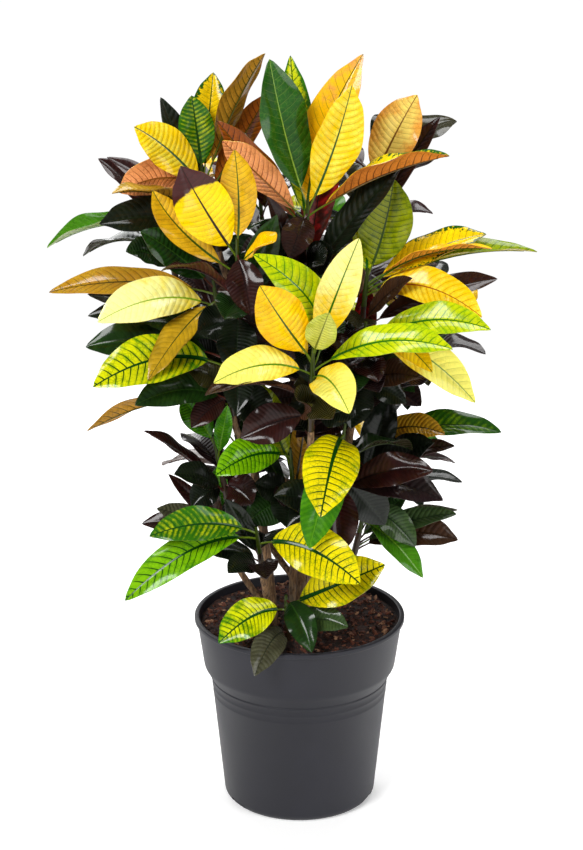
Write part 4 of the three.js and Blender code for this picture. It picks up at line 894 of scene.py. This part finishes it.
def paint(vert, layers, look, upper=True):
    """Writes a look's colours on a point of a blade."""
    if upper:
        flesh, patch, vein = look["flesh"], look["patch"], look["vein"]
    else:
        flesh, vein = look["back"], look["back_vein"]
        patch = tuple(0.8 * c for c in flesh)
    vert[layers["flesh"]] = (*flesh, look["midrib"])
    vert[layers["patch"]] = (*patch, look["speckle"] if upper else 0.0)
    vert[layers["vein"]] = (*vein, look["veining"] if upper else 0.9)
    vert[layers["patching"]] = look["patching"] if upper else (-0.4, 0.2, 0.2, 0)
    vert[layers["gloss"]] = look["gloss"] if upper else 0.5

def add_blade(bm, layers, leaf, curve, phase, columns=BLADE_COLUMNS, rows_per_vein=ROWS_PER_VEIN):
    """One blade, with its own waviness."""
    look, half, fold = LOOKS[leaf["look"]], leaf["width"] / 2, math.radians(leaf["fold"])
    rows = VEIN_PAIRS * rows_per_vein
    made = bmesh.ops.create_grid(bm, x_segments=columns, y_segments=rows, size=1)["verts"]
    for vert in made:
        s, t = vert.co.x, (vert.co.y + 1) / 2
        point, _, across, normal = curve.frame(PETIOLE_SHARE + t * (1 - PETIOLE_SHARE))
        wide = max(outline(t, 0.08 + 0.24 * phase), STALK_HALF / half * (1 - ease(t, 0, 0.05)), 0.01)
        out = abs(s) * wide
        passed = VEIN_PAIRS * (t - VEIN_SWEEP * out - VEIN_CURVE * out ** 2)
        rise = half * wide * (math.sin(fold) * math.hypot(s, 0.06) + DOME * math.sin(math.pi * abs(s)))
        vein, wave = (0.5, WAVE_LAG) if s > 0 else (0, 0)
        pucker = 0.5 - 0.5 * math.cos(math.tau * (passed + vein))
        rise += PUCKER * pucker * 4 * abs(s) * (1 - abs(s)) * min(1, wide * 1.5)
        rise += WAVE * half * wide * s * s * math.sin(math.tau * (WAVES * t + phase) + wave)
        vert.co = (point + across * s * half * wide * math.cos(fold) + normal * rise) * MM
        vert[layers["blade"]] = (s, t, passed)
        vert[layers["from_rib"]] = out * half
        paint(vert, layers, look)
    faces = list({face for vert in made for face in vert.link_faces})
    bm.normal_update()
    grown = bmesh.ops.solidify(bm, geom=faces, thickness=BLADE_THICKNESS * MM)["geom"]
    upper = set(made)
    for vert in (g for g in grown if isinstance(g, bmesh.types.BMVert) and g not in upper):
        paint(vert, layers, look, upper=False)

def across_stem(heading):
    """Two ways square to a stem and to each other."""
    aside = heading.cross(SIDEWAYS).normalized()
    return aside, aside.cross(heading)

def add_tube(bm, place, sides, rows):
    """A closed tube: place(turn, t) gives a point for each share of a turn and of the length."""
    made = bmesh.ops.create_grid(bm, x_segments=sides, y_segments=rows, size=1)["verts"]
    where = {vert: ((vert.co.x + 1) / 2, (vert.co.y + 1) / 2) for vert in made}
    for vert, (turn, t) in where.items():
        vert.co = place(turn % 1.0, t) * MM
    kept = bmesh.ops.find_doubles(bm, verts=made, dist=1e-7)["targetmap"]
    bmesh.ops.weld_verts(bm, targetmap=kept)
    made = [vert for vert in made if vert.is_valid]
    rims = [edge for edge in {e for v in made for e in v.link_edges} if edge.is_boundary]
    bmesh.ops.holes_fill(bm, edges=rims, sides=0)
    faces = list({face for vert in made for face in vert.link_faces})
    bmesh.ops.recalc_face_normals(bm, faces=faces)
    return [(vert, where[vert][1]) for vert in made]

def add_stalk(bm, layers, leaf, curve, rows=STALK_ROWS):
    """The petiole, which runs on under the blade as its raised midrib."""
    look = LOOKS[leaf["look"]]

    def place(turn, t):
        s = t * STALK_REACH
        point, _, across, normal = curve.frame(s)
        radius = STALK_RADIUS + (RIB_RADIUS - STALK_RADIUS) * ease(s, 0, PETIOLE_SHARE)
        radius += (RIB_END_RADIUS - RIB_RADIUS) * ease(s, PETIOLE_SHARE, STALK_REACH)
        sunk = normal * (-RIB_DROP * ease(s, PETIOLE_SHARE * 0.7, PETIOLE_SHARE * 1.2))
        angle = math.tau * turn
        return point + sunk + (across * math.cos(angle) + normal * math.sin(angle)) * radius

    for vert, t in add_tube(bm, place, STALK_SIDES, rows):
        under = ease(t * STALK_REACH, PETIOLE_SHARE, PETIOLE_SHARE * 2)
        colour = [a + (b - a) * under * 0.7 for a, b in zip(look["stalk"], look["back_vein"])]
        paint_plain(vert, layers, colour)

def paint_plain(vert, layers, colour, gloss=0.42):
    """Writes one colour with no pattern on a point of a stalk or stem."""
    vert[layers["flesh"]] = (*colour, 0.0)
    vert[layers["patch"]] = (*colour, 0.0)
    vert[layers["vein"]] = (*colour, 0.0)
    vert[layers["patching"]] = (-1, 0, 0, 0)
    vert[layers["from_rib"]] = 9.0
    vert[layers["gloss"]] = gloss

# %% [markdown]
# The young leaves that a rule placed are bright, as they are all round the plant. The portrait
# shows only old ones in their places, so each of them that it would show gets an aged look. A ray
# from the leaf to the camera tells, and the same test serves for the leaves of the shade below.

# %% What the portrait shows
EYE = camera.location / MM
MOST_SHOWN, CLEAR_OF_SOLID, SHEET_ROWS = 0.12, 8, 8

def sheet(leaf):
    """A leaf's blade as a coarse folded sheet of points and faces."""
    curve, half, fold = LeafCurve(leaf), leaf["width"] / 2, math.radians(leaf["fold"])
    points = []
    for i in range(SHEET_ROWS + 1):
        t = 0.03 + 0.96 * i / SHEET_ROWS
        point, _, across, normal = curve.frame(PETIOLE_SHARE + t * (1 - PETIOLE_SHARE))
        wide = half * max(outline(t), 0.1)
        side, lift = across * wide * math.cos(fold), normal * wide * math.sin(fold)
        points += [point - side + lift, point, point + side + lift]
    faces = [(i, i + 1, i + 4, i + 3) for row in range(SHEET_ROWS) for i in (3 * row, 3 * row + 1)]
    return points, faces

def solid_tree(*names):
    """Solids of the part as one tree, for seeing what a leaf would cross or hide."""
    points, faces = [], []
    for mesh in (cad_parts[name].data for name in names):
        faces += [tuple(len(points) + i for i in p.vertices) for p in mesh.polygons]
        points += [v.co / MM for v in mesh.vertices]
    return BVHTree.FromPolygons(points, faces)

def sight(points, clear_of=1):
    """The shares of a leaf's points that the portrait would show, and that would hide a young leaf."""
    shown = hiding = 0
    for point in points:
        away = (point - EYE).normalized()
        if whole.ray_cast(point - away * clear_of, -away)[0] is None:
            shown += 1
            hiding += bright.ray_cast(point, away)[0] is not None
    return shown / len(points), hiding / len(points)

whole = solid_tree(*sorted(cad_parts))
bright = solid_tree(*(f"shoot_{name}_young_leaves" for name in SHOOTS))
aged = 0
for (name, age), grown in leaves.items():
    for i, leaf in enumerate(grown):
        if age == "young" and "ruled" in leaf and sight(sheet(leaf)[0], CLEAR_OF_SOLID)[0] > MOST_SHOWN:
            leaf["look"] = RULED_LOOKS["shaded"][(int(name) + i) % len(RULED_LOOKS["shaded"])]
            aged += 1
print("ruled young leaves aged:", aged)

# %% [markdown]
# Each shoot's stem is short and smooth: green where it carries the young leaves, turning brown
# below, with a small swelling under every petiole.

# %% Leafy shoots
STEM_GREEN, STEM_BROWN = srgb(52, 66, 14), srgb(48, 32, 20)
STEM_SIDES, STEM_ROWS = 8, 16
SWELLING, SWELLING_REACH = 0.5, 3.5   # of the stem under a petiole
LEAF_CREASE = 55   # degrees: sharp only round the thin edge of every blade

def add_shoot_stem(bm, layers, span, radii, roots, colour, below=0.0):
    """A length of shoot, started a little lower where it stands in something."""
    heading = (span[1] - span[0]).normalized()
    start = span[0] - heading * below
    aside, over = across_stem(heading)
    length = (span[1] - start).length

    def place(turn, t):
        radius = radii[0] + (radii[1] - radii[0]) * t
        for root in roots:
            gap = abs((root - start).dot(heading) - t * length)
            radius += SWELLING * max(0, 1 - gap / SWELLING_REACH)
        angle = math.tau * turn
        return start + heading * length * t + (aside * math.cos(angle) + over * math.sin(angle)) * radius

    for vert, _ in add_tube(bm, place, STEM_SIDES, STEM_ROWS):
        paint_plain(vert, layers, colour, 0.55)

leaf_faces = 0
for name, shoot in SHOOTS.items():
    for age in AGES:
        bm = bmesh.new()
        layers = open_layers(bm)
        grown = leaves[name, age]
        radii = SHOOT_RADII[:2] if age == "old" else SHOOT_RADII[1:]
        below = STEM_DEPTH if age == "old" and shoot["trunk"] == "soil" else 0.0
        colour = STEM_GREEN if age == "young" else STEM_BROWN
        add_shoot_stem(bm, layers, spans(shoot)[age], radii, [leaf["root"] for leaf in grown], colour, below)
        for i, leaf in enumerate(grown):
            curve = LeafCurve(leaf)
            add_stalk(bm, layers, leaf, curve)
            add_blade(bm, layers, leaf, curve, (int(name) * 0.37 + i * GOLDEN_TURN) % 1)
        sharpen(bm, LEAF_CREASE)
        node = f"shoot_{name}_{age}_leaves"
        piece = show(bm, f"foliage_{name}_{age}", LEAF_FINISHES[age], f"{age}_leaf", node)
        leaf_faces += len(piece.data.polygons)
print("foliage faces:", leaf_faces)

# %% [markdown]
# The shade inside the crown is itself made of leaves: small old ones that stay on the limbs. The
# solid leaves them out, so they are added here by a seeded draw. Each candidate grows from a limb
# or a stem, and is kept only where it crosses no leaf of the solid and none kept before it.

# %% Inner leaves
INNER_COUNT, INNER_TRIES, INNER_SEED = 270, 9000, 92
INNER_REACH, INNER_RISE, INNER_WIDTH = (46, 100), (-40, 52), (28, 44)
INNER_MIDDLE, INNER_HALVES = Vector((-4, -14, 530)), (152, 176, 178)
INNER_LOOKS = ("black_green", "maroon", "dark_green", "black_green", "dark_olive", "purple")
INNER_PARTS, INNER_ON_SHOOT, MOST_END_ON = 4, 0.4, 0.85
MOST_HIDING, FILLERS_AFTER, LEAST_SHOWN = 0.06, 130, 0.4
FRONT = (math.radians(-155), math.radians(-25))   # bearings towards the viewer
HANGING = {   # rows as in the table of shoots, for old leaves that hang in front of bare stems
    "02": [(-172, 84, 34, 72, 8, 40, "dark_green"), (162, 74, 30, 66, 10, 40, "maroon")],
    "01": [(174, 72, 22, 72, 6, 36, "dark_olive")],
    "10": [(172, 76, 34, 70, 8, 38, "black_green"), (-160, 66, 32, 66, 8, 36, "maroon")],
    "03": [(178, 70, 30, 70, 6, 36, "dark_green")],
    "09": [(-172, 72, 30, 68, 6, 38, "dark_olive")],
}
HANGING_TRIES = 80

def bezier(points, t):
    """A point on a Bezier curve of three or four points."""
    while len(points) > 1:
        points = [a.lerp(b, t) for a, b in zip(points, points[1:])]
    return points[0]

def trunk_line(name):
    top, plan = TRUNKS[name]
    low = SOIL["level"] - STEM_DEPTH
    return [Vector((x, y, low + (top - low) * i / 3)) for i, (x, y) in enumerate(plan)]

def limb_line(shoot):
    """The curve that carries a shoot, from the fork in its trunk to the shoot's foot."""
    line = trunk_line(shoot["trunk"])
    foot, tip = Vector(shoot["foot"]), Vector(shoot["tip"])
    heading = (tip - foot).normalized()
    fork = bezier(line, (shoot["fork"] - line[0].z) / (line[-1].z - line[0].z))
    end = foot - heading * SEAT
    return [fork, end - heading * LIMB_BEND * (end - fork).length, end]

def inner_leaf(rng, names, bearings):
    """One candidate leaf in the shade, and where it grows from."""
    shoot = SHOOTS[rng.choice(names)]
    if shoot["trunk"] == "soil" or rng.random() < INNER_ON_SHOOT:
        span = spans(shoot)["old"]
        root = span[0].lerp(span[1], rng.uniform(0.05, 0.9))
    else:
        root = bezier(limb_line(shoot), rng.uniform(0.3, 0.95))
    bearing = rng.uniform(*bearings)
    out = Vector((math.cos(bearing), math.sin(bearing), 0))
    tip = root + out * rng.uniform(*INNER_REACH)
    tip.z += rng.uniform(*INNER_RISE)
    facing = Vector((0, -rng.uniform(0.3, 1.0), rng.uniform(0.3, 0.9))) + out * 0.3
    return dict(root=root, tip=tip, facing=facing.normalized(), arch=rng.uniform(0, 22), sway=0, fold=FOLD,
                width=rng.uniform(*INNER_WIDTH), look=rng.choice(INNER_LOOKS))

def within_crown(point):
    return sum(((a - b) / h) ** 2 for a, b, h in zip(point, INNER_MIDDLE, INNER_HALVES)) < 1

inner_draw = random.Random(INNER_SEED)
taken = [whole]
inner = []

def clear(leaf):
    """Keeps a leaf of the shade if it crosses nothing, and says whether it did."""
    own = BVHTree.FromPolygons(*sheet(leaf))
    if any(own.overlap(other) for other in taken):
        return False
    taken.append(own)
    inner.append(leaf)
    return True

for name, rows in HANGING.items():
    for i, row in enumerate(rows):
        laid = laid_leaf(SHOOTS[name], row)
        laid["root"] = root_on(spans(SHOOTS[name])["young" if i % 2 else "old"], 1, 2)
        placed = any(clear({**laid, "tip": laid["tip"] + nudge(turn)}) for turn in range(HANGING_TRIES))
        print("hanging leaf of shoot", name, "placed:", placed)
for _ in range(INNER_TRIES):
    filling = len(inner) > FILLERS_AFTER
    leaf = inner_leaf(inner_draw, sorted(SHOOTS), FRONT if filling else (0, math.tau))
    end_on = abs((leaf["tip"] - leaf["root"]).normalized().dot(leaf["facing"]))
    if len(inner) >= INNER_COUNT or not within_crown(leaf["tip"]) or end_on > MOST_END_ON:
        continue
    shown, hiding = sight(sheet(leaf)[0])
    if hiding <= MOST_HIDING and (shown >= LEAST_SHOWN or not filling):
        clear(leaf)
for part in range(INNER_PARTS):
    bm = bmesh.new()
    layers = open_layers(bm)
    for i, leaf in enumerate(inner[part::INNER_PARTS]):
        curve = LeafCurve(leaf)
        add_stalk(bm, layers, leaf, curve, INNER_STALK_ROWS)
        add_blade(bm, layers, leaf, curve, i * GOLDEN_TURN % 1, INNER_COLUMNS, INNER_ROWS_PER_VEIN)
    sharpen(bm, LEAF_CREASE)
    piece = show(bm, f"inner_foliage_{part + 1}", LEAF_FINISHES["old"], "old_leaf")
    print(piece.name, "faces:", len(piece.data.polygons))
print("inner leaves:", len(inner))

# %% [markdown]
# The woody stems are grey-brown, with lengthwise cracks and the rings that fallen leaves leave
# behind. A tube is carried along each trunk's and limb's curve, its radius swelling at the scars,
# and the trunk and its limbs are one piece, as they grew.

# %% Woody stems
TRUNK_SIDES, LIMB_SIDES, ROW_STEP = 14, 10, 7
SCAR_STEP, SCAR_RISE, LUMP_RISE = 19, 0.35, 0.35

def add_stem(bm, points, radii, sides):
    """A bark-covered tube along a Bezier curve, with leaf scars round it."""
    length = sum((bezier(points, (i + 1) / 20) - bezier(points, i / 20)).length for i in range(20))
    rows = max(6, round(length / ROW_STEP))

    def place(turn, t):
        point = bezier(points, t)
        heading = (bezier(points, min(1, t + 0.01)) - bezier(points, max(0, t - 0.01))).normalized()
        aside, over = across_stem(heading)
        radius = radii[0] + (radii[1] - radii[0]) * t
        radius += SCAR_RISE * max(0, math.cos(math.tau * t * length / SCAR_STEP)) ** 6
        angle = math.tau * turn
        way = aside * math.cos(angle) + over * math.sin(angle)
        radius += LUMP_RISE * noise.noise((point + way * 5) * 0.09)
        return point + way * radius

    add_tube(bm, place, sides, rows)

bark = new_finish("croton_bark")
cracks = bark.noise(bark.place((1, 1, 0.16)), 420, 4, 0.65)
patches = bark.noise(bark.place(), 55, 3)
tone = bark.mix(bark.ramp(cracks, 0.36, 0.66), srgb(70, 48, 34), srgb(150, 116, 80))
tone = bark.mix(bark.ramp(patches, 0.5, 0.75, 0.0, 0.5), tone, srgb(140, 128, 108))
bark.wear(Base_Color=tone, Roughness=0.82, Normal=bark.bump(cracks, 0.7, 0.0012))

for name in TRUNKS:
    bm = bmesh.new()
    add_stem(bm, trunk_line(name), TRUNK_RADII, TRUNK_SIDES)
    for shoot in (s for s in SHOOTS.values() if s["trunk"] == name):
        add_stem(bm, limb_line(shoot), LIMB_RADII, LIMB_SIDES)
    sharpen(bm, 60)
    piece = show(bm, f"bark_stem_{name}", bark.material, "woody_bark", f"woody_stem_{name}")
    print(piece.name, "faces:", len(piece.data.polygons))

# %% Update the scene
bpy.context.view_layer.update()
